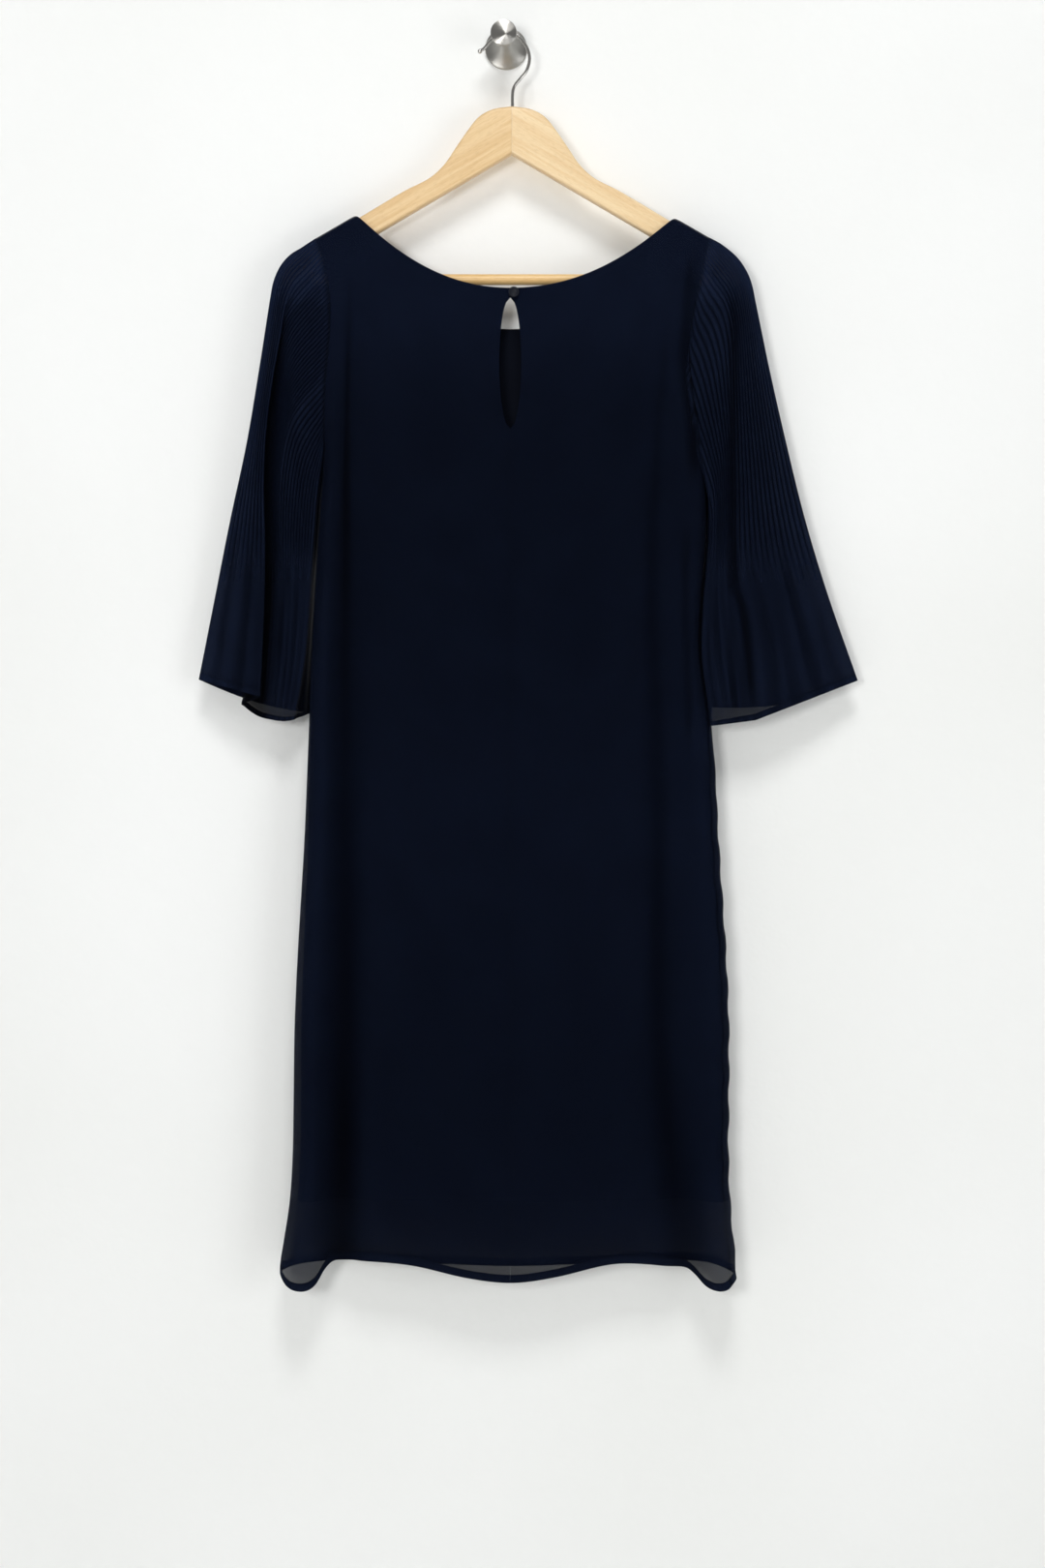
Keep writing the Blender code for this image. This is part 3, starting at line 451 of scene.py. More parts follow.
HEM_ROWS = 2
HEM_WALL = 0.9


def table_read(rows, at, column=1):
    return smooth_read([row[0] for row in rows], [row[column] for row in rows], at)


def fold(name, down):
    return table_read(FOLD_ROWS, down, FOLD_COLUMNS.index(name))


def part_way(at, start=0.0, end=1.0):
    """How far at is on the way from start to end, held between 0 and 1."""
    return min(max((at - start) / (end - start), 0.0), 1.0)


def hill(away):
    """A soft hill, 1 in its middle and 0 from 1 away."""
    return (1 + math.cos(math.pi * min(away, 1.0))) / 2


def ease(a, b, t):
    return a + (b - a) * (1 - math.cos(math.pi * t)) / 2


def quarter_round(t):
    return math.sqrt(1 - (1 - part_way(t)) ** 2)


def shoulder_line(x):
    neck, tip = (NECK_LEFT, SHOULDER_LEFT) if x < BACK_SEAM_X else (NECK_RIGHT, SHOULDER_RIGHT)
    return neck[1] + (tip[1] - neck[1]) * (x - neck[0]) / (tip[0] - neck[0])


def top_edge(x, neck_down):
    """Drop of a panel's top edge: the shoulder seams and the neckline, rounded where they meet."""
    neck = NECK_LEFT if x < BACK_SEAM_X else NECK_RIGHT
    t = (x - BACK_SEAM_X) / (neck[0] - BACK_SEAM_X)
    neckline = neck_down - (neck_down - neck[1]) * abs(t) ** NECK_POWER
    shoulder = shoulder_line(x)
    return (neckline + shoulder + math.hypot(neckline - shoulder, NECK_ROUND)) / 2


def keyhole_half(down):
    if not KEYHOLE_TOP < down < KEYHOLE_BOTTOM:
        return 0.0
    t = (down - KEYHOLE_TOP) / (KEYHOLE_BOTTOM - KEYHOLE_TOP)
    return KEYHOLE_HALF * math.sin(math.pi * t) ** KEYHOLE_POWER


def side_places(side, down, short=0.0):
    """Places on one half of the back: its side, the end of the side's rounding, the start of the
    long fold's slope and the bottom of the fold."""
    way = 1 if side == "left" else -1
    edge = way * table_read(SIDE_ROWS, down, 1 if side == "left" else 2)
    if side == "right":
        edge += (PUCKER * math.sin(2 * math.pi * down / PUCKER_LENGTH)
                 * part_way(down, *PUCKER_START))
    bottom = way * fold(side + "_fold", down)
    span = bottom - edge
    return (edge + short, edge + min(SIDE_ROUND, ROUND_SHARE * span),
            bottom - min(FOLD_HALF, SLOPE_SHARE * span), bottom)


def back_depth(x, down):
    side = "left" if x < BACK_SEAM_X else "right"
    way = 1 if side == "left" else -1
    crest, bottom = side_places(side, down)[1::2]
    lip = bottom + FOLD_LIP
    flat = fold("flat", down)
    if way * x < bottom:
        return ease(fold("roll", down), fold(side + "_depth", down),
                    part_way(way * x, crest, bottom))
    if way * x < lip:
        return ease(fold(side + "_depth", down), flat, part_way(way * x, bottom, lip))
    return ease(flat, fold("middle", down), part_way(way * x, lip, way * BACK_SEAM_X))


def front_depth(x, down):
    dents = sum(deep * hill(abs(x - middle) / half) for middle, half, deep in FRONT_DENTS)
    return fold("front", down) - dents * part_way(down, *DENT_START)


def station_x(station, down, seam_shift, left_short):
    """Where a lengthwise line of the body lies: 0 is the left side, 5 the middle, 10 the right."""
    left_half = station <= 5
    way = 1 if left_half else -1
    place = station if left_half else 10 - station
    edge, rounded, slope, bottom = side_places("left" if left_half else "right", down,
                                               left_short if left_half else 0.0)
    if place < 1:
        return way * (edge + (rounded - edge) * (1 - math.cos(place * math.pi / 2)))
    knots = (rounded, slope, bottom, bottom + FOLD_HALF, way * (BACK_SEAM_X + seam_shift))
    i = min(int(place) - 1, 3)
    return way * (knots[i] + (knots[i + 1] - knots[i]) * (place - 1 - i))


def body_point(face, station, down, seam_shift=0.0, left_short=0.0):
    """A point of the body's outside. Stations past 10 turn round the right side to the back."""
    turned = station > 10
    if turned:
        station = 20 - station
    x = station_x(station, down, seam_shift, left_short)
    near = (face == "back") != turned
    depth = back_depth(x, down) if near else front_depth(x, down)
    side = math.sin(max(min(station, 10 - station, 1.0), 0.0) * math.pi / 2)
    if down < UNDERARM_DOWN:
        open_arm = quarter_round((UNDERARM_DOWN - down) / ARMHOLE_ROUND)
        side = open_arm + (1 - open_arm) * side
    over_hanger = quarter_round((down - shoulder_line(x)) / RIDGE_ROUND)
    seam = fold("side", down) + (-SEAM_GAP / 2 if near else SEAM_GAP / 2)
    return np.array((x, seam + (depth - seam) * side * over_hanger, -down, seam))


def panel_grid(face, stations, neck_down, hem, lining=False, seam_side=0):
    """Rows of points over a panel, each with the depth that its inside stays short of. seam_side
    is -1 or 1 for a panel left or right of the centre-back seam, and 0 for one across it."""
    turn_gap = LINING_TURN_GAP if lining else SEAM_TURN_GAP
    free = 1000.0 if face == "back" else -1000.0
    grid = []
    for place in stations:
        def at(down):
            seam_shift = seam_side * (keyhole_half(down) + CENTRE_SEAM_GAP / 2)
            turn = max(table_read(SEAM_TURN_ROWS, down), 0.0) / 90
            station = place
            if face == "back" and place > 9:
                station = 9 + (place - 9) * (1 - turn)
            elif place > 9:
                station = 9 + (place - 9) * (1 + max(turn - turn_gap, 0.0))
            short = table_read(LINING_SHORT_ROWS, down) if lining else 0.0
            point = body_point(face, station, down, seam_shift, short)
            if place > 9 and turn > turn_gap:
                point[3] = free
            return point

        top = 200.0
        for _ in range(12):
            x = at(top)[0]
            top = top_edge(x, neck_down)
        on_neck = part_way(top - shoulder_line(x), 0.0, NECK_BLEND)
        downs = []
        for i in range(ROWS_ABOVE):
            row = i / ROWS_ABOVE
            downs.append(top + (UNDERARM_DOWN + 1 - top)
                         * (row * on_neck + row ** 1.5 * (1 - on_neck)))
        skirt_end = SKIRT_END if hem else LINING_HEM_DOWN
        downs += [UNDERARM_DOWN + 1 + (skirt_end - UNDERARM_DOWN - 1) * i / ROWS_BELOW
                  for i in range(ROWS_BELOW + 1)]
        if hem:
            foot = at(FOOT_DOWN)
            wrapped = face == "front" and foot[1] < fold("side", FOOT_DOWN)
            last = table_read(BACK_HEM_ROWS if wrapped else hem, foot[0])
            band = last - HEM_BAND
            downs += [skirt_end + (band - skirt_end) * (i + 1) / ROWS_HEM for i in range(ROWS_HEM)]
            downs += [band + HEM_BAND * (i + 1) / HEM_ROWS for i in range(HEM_ROWS)]
        grid.append([at(down) for down in downs])
    return np.array(grid).transpose(1, 0, 2)


def moved_in(grid, distance, face, hem_distance=None):
    """The grid's points moved to the inside, square to its surface, but not past the seam."""
    points, limit = grid[:, :, :3], grid[:, :, 3]
    if hem_distance:
        distance = np.full((len(grid), 1, 1), distance)
        distance[-HEM_ROWS:] = hem_distance
    across, along = np.gradient(points, axis=1), np.gradient(points, axis=0)
    inside = np.cross(across, along)
    moved = points + distance * inside / np.linalg.norm(inside, axis=2, keepdims=True)
    short_of = np.minimum if face == "back" else np.maximum
    moved[:, :, 1] = short_of(moved[:, :, 1], limit)
    return np.dstack((moved, limit))


def sheet_mesh(outside, inside, painted_light, tube=False, hem=True, folds=None):
    """A thin wall of cloth: two grids bent over its outside and its inside, joined at their rims,
    with the cloth's own lengths across and along as its UV map. The painted light says how much
    shade or light is painted into the cloth's colour at each place: 0 in the bottom of a deep fold,
    0.5 on the flat, 1 on a lit ridge."""
    rows, columns = outside.shape[:2]
    steps = columns if tube else columns - 1
    across, along = np.zeros((2, rows, steps + 1))
    wrapped = np.concatenate((outside, outside[:, :1]), axis=1)[:, :steps + 1, :3]
    across[:, 1:] = np.cumsum(np.linalg.norm(np.diff(wrapped, axis=1), axis=2), axis=1)
    along[1:] = np.cumsum(np.linalg.norm(np.diff(wrapped, axis=0), axis=2), axis=0)
    bm = bmesh.new()
    uv = bm.loops.layers.uv.new("UVMap")
    # Each point holds the shade or light painted into the cloth's colour there.
    shade = bm.verts.layers.float.new("painted_light")
    for points in (outside, inside):
        made = bmesh.ops.create_grid(bm, x_segments=steps, y_segments=rows - 1, size=0.5)
        made = set(made["verts"])
        place = {}
        for vert in made:
            place[vert] = (round((vert.co.x + 0.5) * steps), round((0.5 - vert.co.y) * (rows - 1)))
        for face in {face for vert in made for face in vert.link_faces}:
            for loop in face.loops:
                column, row = place[loop.vert]
                loop[uv].uv = (across[row, column] * MM, along[row, column] * MM)
            if hem and min(place[vert][1] for vert in face.verts) >= rows - 1 - HEM_ROWS:
                face.material_index = 1
            elif folds is not None and folds[min(place[vert][1] for vert in face.verts),
                                             min(place[vert][0] for vert in face.verts)]:
                face.material_index = 2
        for vert, (column, row) in place.items():
            vert.co = points[row, column % columns, :3] * MM
            vert[shade] = part_way(painted_light[row, column % columns])
        if tube:
            bmesh.ops.remove_doubles(bm, verts=list(made), dist=1e-6)
    rim = [edge for edge in bm.edges if edge.is_boundary]
    if tube:
        middle = sum(vert.co.z for vert in bm.verts) / len(bm.verts)
        top = [edge for edge in rim if edge.verts[0].co.z > middle]
        bmesh.ops.bridge_loops(bm, edges=top)
        rim = [edge for edge in rim if edge not in top]
    bmesh.ops.bridge_loops(bm, edges=rim)
    return bm


WAVE_SCALE = 0.314          # a wave texture with this scale has one band in every metre
PAINTED_LIGHT_SHARES = (0.06, 1.0, 2.6)      # painted shade and light: shares of the cloth's own colour at 0, 0.5 and 1


def crepe(name, colour, roughness, alpha=1.0, yarn=0.00042, gloss=0.02):
    """Crepe cloth: fine twisted yarns across and along, and the soft unevenness of dyed cloth.
    Painted shade darkens it in the bottoms of folds, and painted light lightens it on ridges."""
    cloth, tree, shader = new_material(
        name, colour, roughness, Alpha=alpha, Specular_IOR_Level=gloss, Sheen_Weight=0.012,
        Sheen_Roughness=0.5, Sheen_Tint=(0.35, 0.5, 1.0, 1.0))
    place = pattern_place(tree, source="UV")
    yarns = {}
    for i, direction in enumerate("XY"):
        yarns[i] = add_node(tree, "ShaderNodeTexWave",
                            {"Vector": place, "Scale": WAVE_SCALE / (2 * yarn), "Distortion": 1.2,
                             "Detail": 0.0, "Detail Scale": 3.0},
                            wave_type="BANDS", bands_direction=direction).outputs["Fac"]
    weave = add_node(tree, "ShaderNodeMath", yarns, operation="ADD")
    bumped(tree, shader, weave.outputs["Value"], 0.18, 0.0002)
    patches = noise(tree, place, Scale=22.0, Detail=1.0, Roughness=0.55)
    # The ramp paints shade and light into the cloth's colour.
    painted_light = add_node(tree, "ShaderNodeAttribute", attribute_name="painted_light")
    ramp = add_node(tree, "ShaderNodeValToRGB", {"Fac": painted_light.outputs["Fac"]})
    ramp.color_ramp.elements.new(0.5)
    for element, share in zip(ramp.color_ramp.elements, PAINTED_LIGHT_SHARES):
        element.color = (*(share * channel for channel in colour), 1.0)
    uneven = add_node(tree, "ShaderNodeMix", {
        "Factor": 1.0, "A": ramp.outputs["Color"],
        "B": tinted(tree, patches, (0.84, 0.84, 0.86), (1, 1, 1), 0.35, 0.65)},
        data_type="RGBA", blend_type="MULTIPLY")
    set_sockets(tree, shader, {"Base Color": uneven.outputs["Result"]})
    return cloth


CREASE_FADE = 35.0


def creases(x, down, lines):
    """How far the listed soft folds sink the cloth here, and how much painted shade darkens them.
    A line holds half its width, its depth, its painted shade and its points (x, down)."""
    sunk = painted_shade = 0.0
    for half, deep, dark, points in lines:
        start, end = points[0][1], points[-1][1]
        if start < down < end:
            middle = table_read([point[::-1] for point in points], down)
            share = hill(abs(x - middle) / half) * min((down - start) / CREASE_FADE,
                                                       (end - down) / CREASE_FADE, 1.0)
            sunk, painted_shade = sunk + deep * share, max(painted_shade, dark * share)
    return sunk, painted_shade


CENTRE_SEAM_GAP = 0.03
SEAM_SHADE = 0.3            # how much darker the side seam is
BACK_SEAM_SHADE, BACK_SEAM_HALF = 0.06, 0.8
HEM_SHADE = 0.12            # along the hem's stitches
ROLL_PAINTED_LIGHT, ROLL_START, ROLL_WIDTH = 0.10, (380, 580), 14.0     # painted highlight on the rolls outside the long folds
NAVY = (0.0031, 0.0051, 0.0128)
BACK_CREASES = (            # half width, depth, painted shade, points (x, down)
    (10, 1.2, 0.28, ((176, 195), (171, 257), (167.5, 303), (171, 335), (174.7, 362), (176, 430))),
    (9, 0, 0.14, ((172, 320), (181, 380), (188, 425), (187, 500), (181, 560), (186, 650))),
    (7, 0.3, 0.22, ((168.5, 450), (167.9, 520), (169, 570), (170.6, 611), (171, 672))),
)
# A drop, the left long fold's painted shade and half width there, the right one's, and how far
# the right one's line of painted shade stands off the bottom of the fold.
VALLEY_SHADE_ROWS = (
    (180, 0, 3, 0, 4, 0), (257, 0.10, 3, 0.03, 4, 0), (303, 0.28, 3.2, 0.09, 3.5, 0),
    (362, 0.30, 4, 0.13, 4, -3.8), (434, 0.36, 5, 0.13, 5, -7.6), (520, 0.30, 6.5, 0.15, 6, -11),
    (611, 0.25, 8, 0.14, 7, -9.5), (780, 0.26, 9, 0.15, 8, -9.5), (847, 0.27, 10, 0.16, 9, -7.7),
    (960, 0.28, 11, 0.19, 9, -3), (1050, 0.36, 13, 0.26, 10, -1), (1110, 0.32, 12, 0.20, 10, 0),
    (1175, 0.28, 12, 0.16, 10, 0),
)
PAINTED_LIGHT_ROWS = (                # down, and how much painted light is added to the whole body there
    (180, 0.16), (257, 0.14), (303, 0.055), (362, -0.035), (520, -0.04), (611, -0.02),
    (720, 0.025), (847, -0.01), (974, -0.055), (1060, -0.04), (1120, -0.005), (1175, 0),
)


def back_painted_light(x, down):
    """Painted shade along the long folds; painted light on the rolls and round the shoulders."""
    painted_light = 0.5 + table_read(PAINTED_LIGHT_ROWS, down)
    for side, column in (("left", 1), ("right", 3)):
        shift = table_read(VALLEY_SHADE_ROWS, down, 5) if side == "right" else 0.0
        away = x - fold(side + "_fold", down) - shift
        outward = -away if side == "left" else away
        dark, half = (table_read(VALLEY_SHADE_ROWS, down, each) for each in (column, column + 1))
        painted_light -= dark * math.exp(-(away / half) ** 2)
        painted_light += (ROLL_PAINTED_LIGHT * part_way(outward, half, half + ROLL_WIDTH)
                 * part_way(down, *ROLL_START))
    if abs(x - BACK_SEAM_X) < BACK_SEAM_HALF and down > KEYHOLE_BOTTOM:
        painted_light -= BACK_SEAM_SHADE
    return painted_light - creases(x, down, BACK_CREASES)[1]


def sink(grid):
    for row in grid:
        for point in row:
            point[1] += creases(point[0], -point[2], BACK_CREASES)[0]


def painted_lights(grid):
    painted_light = np.array([[back_painted_light(point[0], -point[2]) for point in row] for row in grid])
    painted_light[-1 - HEM_ROWS] -= HEM_SHADE
    return painted_light


chiffon = crepe("Navy crepe chiffon", NAVY, 0.85, alpha=0.66)
hem_cloth = crepe("Navy crepe chiffon, folded hem", NAVY, 0.85, alpha=0.97)
side_stations = [i / 8 for i in range(8)]
fold_stations = [1 + i / 10 for i in range(30)]
HALF_STATIONS = side_stations + fold_stations + [4 + i / 22 for i in range(23)]
for side, way in (("left", -1), ("right", 1)):
    stations = HALF_STATIONS if way < 0 else [10 - place for place in reversed(HALF_STATIONS)]
    grid = panel_grid("back", stations, BACK_NECK_DOWN, BACK_HEM_ROWS, seam_side=way)
    painted_light = painted_lights(grid)
    if side == "right":
        painted_light[ROWS_ABOVE:, -1] -= SEAM_SHADE
    sink(grid)
    inside = moved_in(grid, OUTER_WALL, "back", HEM_WALL)
    panel = finish_piece("outer_back_" + side, sheet_mesh(grid, inside, painted_light),
                         (chiffon, hem_cloth), ["back_" + side])

# ------------------------ outer front
# One panel of the same chiffon with a lower neckline. It hangs close to the wall, and on the right
# its edge comes round to the back, where the side seam shows.
FRONT_HEM_ROWS = (
    (-212, 1161), (-185, 1156), (-150, 1154), (-60, 1158), (5, 1160),
    (70, 1158), (150, 1154), (190, 1156), (210, 1162), (218, 1164.5),
)
FRONT_STATIONS = ([10 - i / 12 for i in range(12)] + [9 - i / 3 for i in range(9)]
                  + [6 - i / 12 for i in range(24)] + [4 - i / 3 for i in range(9)]
                  + [1 - i / 8 for i in range(9)])
grid = panel_grid("front", FRONT_STATIONS, FRONT_NECK_DOWN, FRONT_HEM_ROWS)
inside = moved_in(grid, OUTER_WALL, "front", HEM_WALL)
painted_light = painted_lights(grid)
painted_light[ROWS_ABOVE:, 0] -= SEAM_SHADE
panel = finish_piece("outer_front", sheet_mesh(grid, inside, painted_light),
                     (chiffon, hem_cloth), ["front"])

# ------------------------ lining
# A shorter opaque lining of the same colour hangs just inside the outer cloth, cut with the same
# neckline and keyhole. It ends 70 mm above the hem and stands back from the left side.
LINING_IN = 1.0
LINING_WALL = 0.4
satin = crepe("Navy lining", (0.0021, 0.0032, 0.0075), 0.6, yarn=0.0003, gloss=0.03)
for name, node, face, stations, neck_down, seam_side in (
        ("lining_left", "lining_back_left", "back", HALF_STATIONS, BACK_NECK_DOWN, -1),
        ("lining_right", "lining_back_right", "back",
         [10 - place for place in reversed(HALF_STATIONS)], BACK_NECK_DOWN, 1),
        ("lining_across", "lining_front", "front", FRONT_STATIONS, FRONT_NECK_DOWN, 0)):
    grid = panel_grid(face, stations, neck_down, None, True, seam_side)
    if face == "back":
        sink(grid)
    panel = finish_piece(name, sheet_mesh(moved_in(grid, LINING_IN, face),
                                          moved_in(grid, LINING_IN + LINING_WALL, face),
                                          np.full(grid.shape[:2], 0.5), hem=False),
                         satin, [node])

# ------------------------ sleeves
# Unlined tubes of the same chiffon, heat-set in fine accordion pleats that run from the armhole's
# seam. Near the hem the pleats open into a flare. The left sleeve is folded over itself.
SLEEVE_WALL = 0.3
ARMHOLE_GAP = -0.2
SEAM_LEAN = 0.11            # how much of the armhole's height its pleats face at their start
LEFT_SLEEVE_ROWS = (        # name, place on the armhole, pleats, bulge, sag, points
    ("outer edge", 0.0, 9, -5.0, 0.0, (
        (-191.8, -30, 195.1), (-203.6, -30, 202.4), (-212.9, -30, 212.9), (-219.3, -30, 227),
        (-222.3, -30, 241.6), (-231.9, -30, 303.3), (-244.7, -30, 379.5), (-260.2, -29, 451.6),
        (-274.8, -28, 524.7), (-290.4, -27, 603.2))),
    ("fold lip", 0.10, 3, 0.0, 0.0, (
        (-186, -40, 221), (-199, -42, 236), (-206.5, -43, 254), (-211, -44, 280),
        (-218.5, -45, 323), (-224.5, -47, 370), (-226.5, -49, 422), (-225.2, -50, 476),
        (-225.7, -51, 533), (-229.3, -53, 620.5))),
    ("fold under", 0.13, 22, 0.0, 3.0, (
        (-181, -41, 231.5), (-194, -41, 246), (-205, -39.5, 260), (-214, -36, 280),
        (-220.5, -33.5, 305), (-227, -32, 345), (-231, -31, 400), (-234, -31, 450),
        (-238, -31, 520), (-243, -30.5, 575), (-249, -30, 627))),
    ("beside the fold", 0.30, 13, -2.0, 1.5, (
        (-180, -42, 332.5), (-191.5, -42, 345), (-201.5, -41, 360), (-208, -40, 380),
        (-212, -39.5, 405), (-214, -39, 435), (-214.5, -38, 480), (-214.5, -37, 530),
        (-217, -36, 585), (-222, -35, 641))),
    ("inner edge, near", 0.45, 3, 0.0, 0.0, (
        (-177.2, -40, 430), (-180.9, -42, 480), (-184.9, -43, 545), (-188.6, -43, 585),
        (-198.5, -43, 641.5))),
    ("inner edge, far", 0.55, 16, 12.0, 5.0, (
        (-175.3, -16, 430), (-178.8, -15, 480), (-182.6, -14, 545), (-184.6, -14, 585),
        (-185.6, -14, 634.5))),
)
RIGHT_SLEEVE_ROWS = (
    ("outer edge", 0.0, 14, -5.0, 0.0, (
        (204.5, -30, 193.7), (218.2, -30, 205.1), (227.5, -30, 218.8), (232.1, -30, 230.7),
        (235.9, -30, 249), (248.3, -30, 309.2), (262.9, -30, 374), (282.1, -29, 451.6),
        (303.5, -28, 522), (332.3, -27, 604.1))),
    ("soft fold", 0.13, 12, -2.5, 0.0, (
        (193, -41, 233), (206, -42, 253), (212.5, -42, 280), (214, -42, 328),
        (215.2, -42, 420), (215.8, -42, 500), (220.5, -43, 530), (227.5, -46, 575),
        (234, -49, 642))),
    ("beside the seam", 0.30, 3, 0.0, 0.0, (
        (166.5, -41, 337), (175.5, -41, 372), (187, -41, 403), (195, -41, 430),
        (195.5, -43, 470), (191.5, -45, 533), (190.5, -46, 577), (195, -47, 615),
        (200.5, -47, 646.5))),
    ("inner edge, near", 0.45, 3, 0.0, 0.0, (
        (191.4, -41, 430), (190.6, -43, 470), (185, -45, 533), (183, -46, 577),
        (184.9, -46, 598), (187.2, -47, 615), (189.2, -47, 631), (190.8, -47, 647.5))),
    ("inner edge, far", 0.55, 16, 12.0, 9.0, (
        (189.6, -16, 430), (189.8, -15, 470), (185.3, -13, 533), (184.5, -13, 577),
        (190.4, -13, 610), (194.4, -13, 629))),
)
PLEAT_DEPTH = 1.9
PLEAT_STEEP = 0.22          # half a pleat's depth is at most this share of its width
FLARE_STEEP = 0.8
# painted light on the crests of the flare's waves
FLARE_PAINTED_LIGHT = 0.09
PLEAT_START_ROWS = ((0.0, 0.2), (0.02, 0.8), (0.05, 1.0), (1.0, 1.0))
PLEATS_END = (455.0, 530.0)  # the drops between which the pleats open
PRESSED_END = 500.0         # the pressed edges end here, some sooner and some later
PRESSED_SPREAD = 9.0
FLARE_DEPTH = 2.6
FLARE_ROWS = ((180, 0.0), (460, 0.0), (540, 0.6), (640, 1.0), (660, 1.0))
PLEATS_IN_WAVE = 3
STEPS_IN_PLEAT = 6
SLEEVE_RINGS = 110
RING_POWER = 1.15           # rings stand closer at the armhole
HEM_SHARE = 0.986           # where the hem's band starts
LEFT_CREASES = (            # half width, depth, painted shade, points (x, down)
    (7, 2, 0.16, ((-238, 470), (-243, 530), (-247, 580), (-252, 640))),
    (7, 1.5, 0.14, ((-251, 440), (-260, 500), (-268, 550), (-273, 600))),
    (6, 1.5, 0.15, ((-204, 480), (-209, 520), (-213, 560), (-218, 605))),
    (5, 1, 0.10, ((-194, 490), (-197, 530), (-201, 570), (-206, 610))),
)
RIGHT_CREASES = (
    (8.5, 3, 0.32, ((208, 235), (213, 257), (213.3, 400), (214, 515), (221.4, 534),
                    (225.5, 560), (230, 640))),
    (6, 1.5, 0.18, ((209, 525), (210.5, 551), (213.3, 613), (214, 650))),
    (7, 1.5, 0.14, ((236, 500), (244, 540), (252, 580), (256, 630))),
    (7, 1.5, 0.12, ((258, 480), (268, 520), (279, 560), (286, 600))),
    (6, 1.5, 0.12, ((193, 500), (194, 525), (196.5, 569), (199, 610))),
)
# Painted light by a pleat's height: painted shade in its hollows, a painted highlight on its ridge.
PLEAT_PAINTED_LIGHT = ((-1.0, -0.50), (-0.4, -0.12), (0.3, 0.08), (1.0, 0.24))
FOLD_SHADE_ROWS = (         # the left sleeve's deep fold: its edge's x, down, width and painted shade
    (-206, 235, 4, 0), (-209, 262, 4.5, 0.24), (-214, 300, 6, 0.42),
    (-221, 345, 8, 0.46), (-225.5, 400, 10, 0.49), (-225.5, 476, 10.5, 0.50),
    (-225.5, 540, 8.5, 0.50), (-230, 630, 6.5, 0.44),
)


def armhole(side, place):
    """A point on the armhole's seam, just under the body's edge."""
    near = place <= 0.5
    round_place = place if near else 1 - place
    top = SHOULDER_LEFT[1] if side == "left" else SHOULDER_RIGHT[1]
    down = top + (UNDERARM_DOWN - top) * (1 - math.cos(2 * math.pi * round_place)) / 2
    station = 0.0 if side == "left" else 10.0
    point = body_point("back" if near else "front", station, down)[:3]
    point[0] += (-1 if side == "left" else 1) * ARMHOLE_GAP
    return point


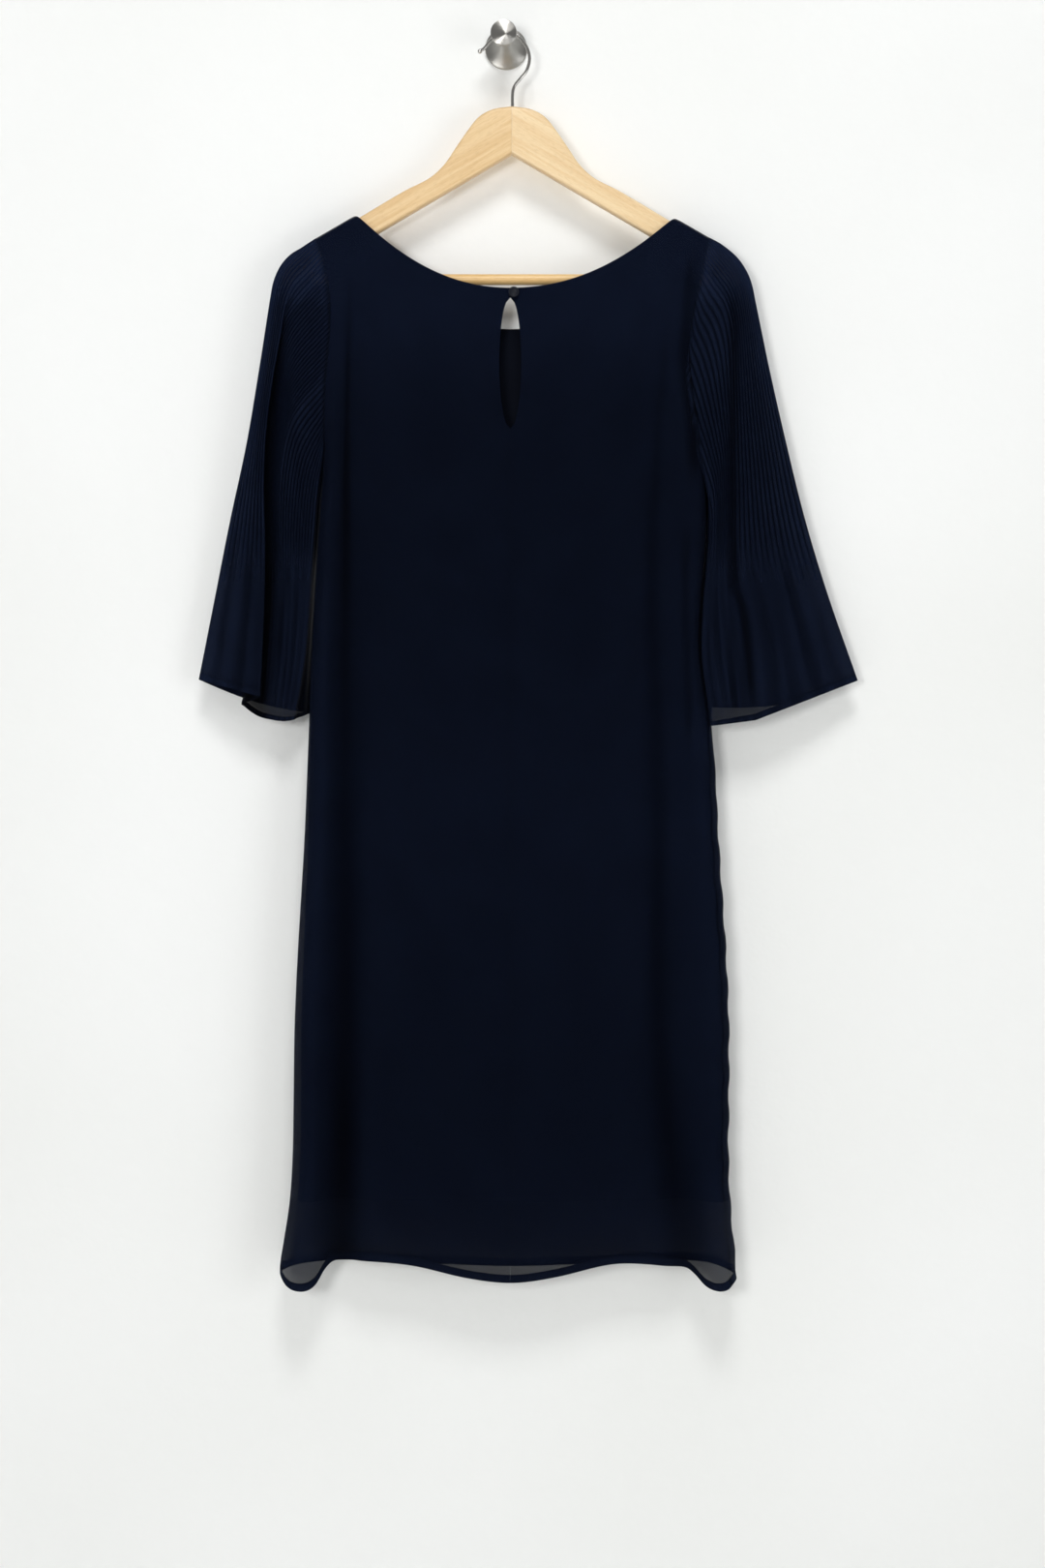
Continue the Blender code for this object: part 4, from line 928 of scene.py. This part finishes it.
def sleeve_walls(side, rows):
    """Rings of points down a sleeve, outside and inside: a surface between each long line and
    the next, then the pleats and the flare's waves raised square to it."""
    rings = np.linspace(0.0, HEM_SHARE ** (1 / RING_POWER), SLEEVE_RINGS) ** RING_POWER
    rings = np.append(rings, [(1 + HEM_SHARE) / 2, 1.0])
    v = rings[:, None]
    lines = []
    for name, place, pleats, bulge, sag, points in rows:
        path = through([armhole(side, place)] + [(x, depth, -down) for x, depth, down in points])
        lines.append((np.array([path(share) for share in rings]), place, pleats, bulge, sag, name))
    columns, pleat_at, raised, seam_out, names, shares = [], [], [], [], [], []
    counted = 0
    for i, (line, place, pleats, bulge, sag, name) in enumerate(lines):
        next_line, next_place = lines[(i + 1) % len(lines)][:2]
        next_place = next_place or 1.0
        for j in range(STEPS_IN_PLEAT * pleats):
            s = j / (STEPS_IN_PLEAT * pleats)
            round_place = place + (next_place - place) * s
            from_seam = armhole(side, round_place) - (1 - s) * line[0] - s * next_line[0]
            sagged = np.array((0.0, 0.0, -sag)) * math.sin(math.pi * s)
            bulged = np.array((0.0, bulge, 0.0)) * math.sin(math.pi * s) ** 0.8
            columns.append((1 - s) * line + s * next_line + (1 - v) ** 3 * from_seam
                           + v * v * sagged + (1 - (1 - v) ** 8) * bulged)
            pleat_at.append(counted + s * pleats)
            names.append(name)
            shares.append(s)
            raised.append((min(1.0, pleats * s / 1.5, pleats * (1 - s) / 1.5),
                           math.sin(math.pi * s)))
            turn = 2 * math.pi * round_place
            seam_out.append((0.0, -math.sin(turn), SEAM_LEAN * math.cos(turn)))
        counted += pleats
    grid = np.array(columns).transpose(1, 0, 2)
    reach = STEPS_IN_PLEAT // 2
    around = np.roll(grid, -reach, axis=1) - np.roll(grid, reach, axis=1)
    widths = np.linalg.norm(around, axis=2)
    outside = np.cross(np.gradient(grid, axis=0), around) * (1 if side == "left" else -1)
    outside /= np.linalg.norm(outside, axis=2, keepdims=True)
    outside = sum(np.roll(outside, shift, axis=1) for shift in range(-reach, reach + 1))
    outside[0] = seam_out
    outside /= np.linalg.norm(outside, axis=2, keepdims=True)
    painted_light = np.full(grid.shape[:2], 0.5)
    wall = np.full((len(rings), 1, 1), SLEEVE_WALL)
    wall[-HEM_ROWS:] = HEM_WALL
    crease_lines = LEFT_CREASES if side == "left" else RIGHT_CREASES
    near_columns = STEPS_IN_PLEAT * sum(row[2] for row in rows if row[1] < 0.5)
    pressed = np.zeros(grid.shape[:2], dtype=bool)
    for k, share in enumerate(rings):
        started = table_read(PLEAT_START_ROWS, share)
        for j, (at, (pleat_share, flare_share)) in enumerate(zip(pleat_at, raised)):
            x, _, up = grid[k, j]
            wave = math.sin(2 * math.pi * at / PLEATS_IN_WAVE)
            zigzag = 1 - 4 * abs(at % 1 - 0.5)
            pleated = started * ease(1.0, 0.0, part_way(-up, *PLEATS_END))
            flared = table_read(FLARE_ROWS, -up)
            height = (min(PLEAT_DEPTH / 2, PLEAT_STEEP * widths[k, j])
                      * pleated * pleat_share * zigzag)
            sunk = (min(FLARE_DEPTH, FLARE_STEEP * widths[k, j])
                    * flared * flare_share * (1 - wave) / 2)
            pressed[k, j] = (j % STEPS_IN_PLEAT in (0, STEPS_IN_PLEAT - 1)
                             and -up < PRESSED_END + PRESSED_SPREAD * wave)
            # Painted light on the pleats' ridges and the flare's crests, painted shade in their
            # hollows.
            painted_light[k, j] += table_read(PLEAT_PAINTED_LIGHT, zigzag) * pleated + FLARE_PAINTED_LIGHT * wave * flared
            # Painted light of the sleeve's long parts, and painted shade along the armhole's seam
            # over the first three rings.
            painted_light[k, j] += column_painted_light(side, names[j], shares[j], x, -up) - 0.5 * max(1 - k / 3, 0)
            if j < near_columns:
                # The creases sink the cloth and paint shade into their hollows.
                crease, painted_shade = creases(x, -up, crease_lines)
                grid[k, j, 1] += crease
                painted_light[k, j] -= painted_shade
            grid[k, j] += outside[k, j] * (height - sunk)
    painted_light[-1 - HEM_ROWS] -= HEM_SHADE
    return grid, grid - outside * wall, painted_light, pressed


def column_painted_light(side, line, s, x, down):
    """The painted light on the long parts of a sleeve: painted shade below the left one's fold,
    painted highlights along both outer edges and over the hanger's ends, and painted shade inside."""
    cap = 0.5 * part_way(down, 255, 205) + 0.1 * part_way(down, 350, 270)
    if line == "outer edge":
        edge = 0.24 * max(1 - s / 0.7, 0.0) if side == "left" else 0.14 * max(1 - s / 0.4, 0.0)
        return cap + edge
    if line == "inner edge, near":
        return -0.36 * part_way(down, 400, 460)
    if side == "left" and line != "inner edge, far":
        rows = [(row[1], row[0], *row[2:]) for row in FOLD_SHADE_ROWS]
        away = (x - table_read(rows, down, 1)) / table_read(rows, down, 2)
        return cap - table_read(rows, down, 3) * math.exp(-max(away, 0.0) ** 2)
    return cap


# The sleeves' chiffon is given a lighter colour than the body's same chiffon: painted light.
SLEEVE_NAVY_PAINTED_LIGHTER = (0.0035, 0.0058, 0.0144)
pleated = crepe("Navy pleated chiffon", SLEEVE_NAVY_PAINTED_LIGHTER, 0.8, alpha=0.76)
pressed = crepe("Navy pleated chiffon, pressed folds", SLEEVE_NAVY_PAINTED_LIGHTER, 0.8)
for side, rows in (("left", LEFT_SLEEVE_ROWS), ("right", RIGHT_SLEEVE_ROWS)):
    outside, inside, painted_light, pressed_in = sleeve_walls(side, rows)
    cloth_mesh = sheet_mesh(outside, inside, painted_light, tube=True, folds=pressed_in)
    sleeve = finish_piece("pleated_sleeve_" + side, cloth_mesh, (pleated, hem_cloth, pressed),
                          ["sleeve_" + side], 80)

# ------------------------ button and loop
# A small dark button with a raised rim, sewn to the right panel and held by a thin loop of the
# same cloth on the left one.
BUTTON_X = 7.4
BUTTON_DOWN = 240.8
BUTTON_FRONT = -47.6
LOOP_RADIUS = 0.6
LOOP_HALF = 3.4
LOOP_DEPTH = -44.0
LOOP_STEPS = 12
LOOP_END = math.radians(155)        # where its ends leave the circle
BUTTON_ROWS = (             # radius, depth behind the front
    (0, 0.95), (2.5, 0.95), (3.2, 0.6), (3.8, 0.1), (4.2, 0), (4.6, 0.1), (4.95, 0.5),
    (5.1, 1.1), (4.8, 1.8), (4, 2.4), (2, 2.6), (0, 2.6),
)
resin, tree, shader = new_material("Dark button", (0.003, 0.004, 0.009), 0.45,
                                   Specular_IOR_Level=0.16)
swirl = noise(tree, pattern_place(tree), Scale=420.0, Detail=2.0, Distortion=1.2)
set_sockets(tree, shader, {"Base Color": tinted(tree, swirl, (0.0025, 0.0033, 0.007),
                                                (0.007, 0.009, 0.016))})
bm = bmesh.new()
turned(bm, BUTTON_ROWS, 40)
bmesh.ops.translate(bm, verts=bm.verts, vec=(BUTTON_X * MM, BUTTON_FRONT * MM, -BUTTON_DOWN * MM))
finish_piece("neck_button", bm, resin, ["button"])

bm = bmesh.new()
angles = [LOOP_END * (2 * i / LOOP_STEPS - 1) for i in range(LOOP_STEPS + 1)]
loop_route = [(BUTTON_X + LOOP_HALF * math.cos(angle), LOOP_DEPTH,
               -BUTTON_DOWN + LOOP_HALF * math.sin(angle)) for angle in angles]
round_wire(bm, through(loop_route), LOOP_RADIUS, 40, 10)
finish_piece("neck_loop", bm, satin, ["button_loop"])
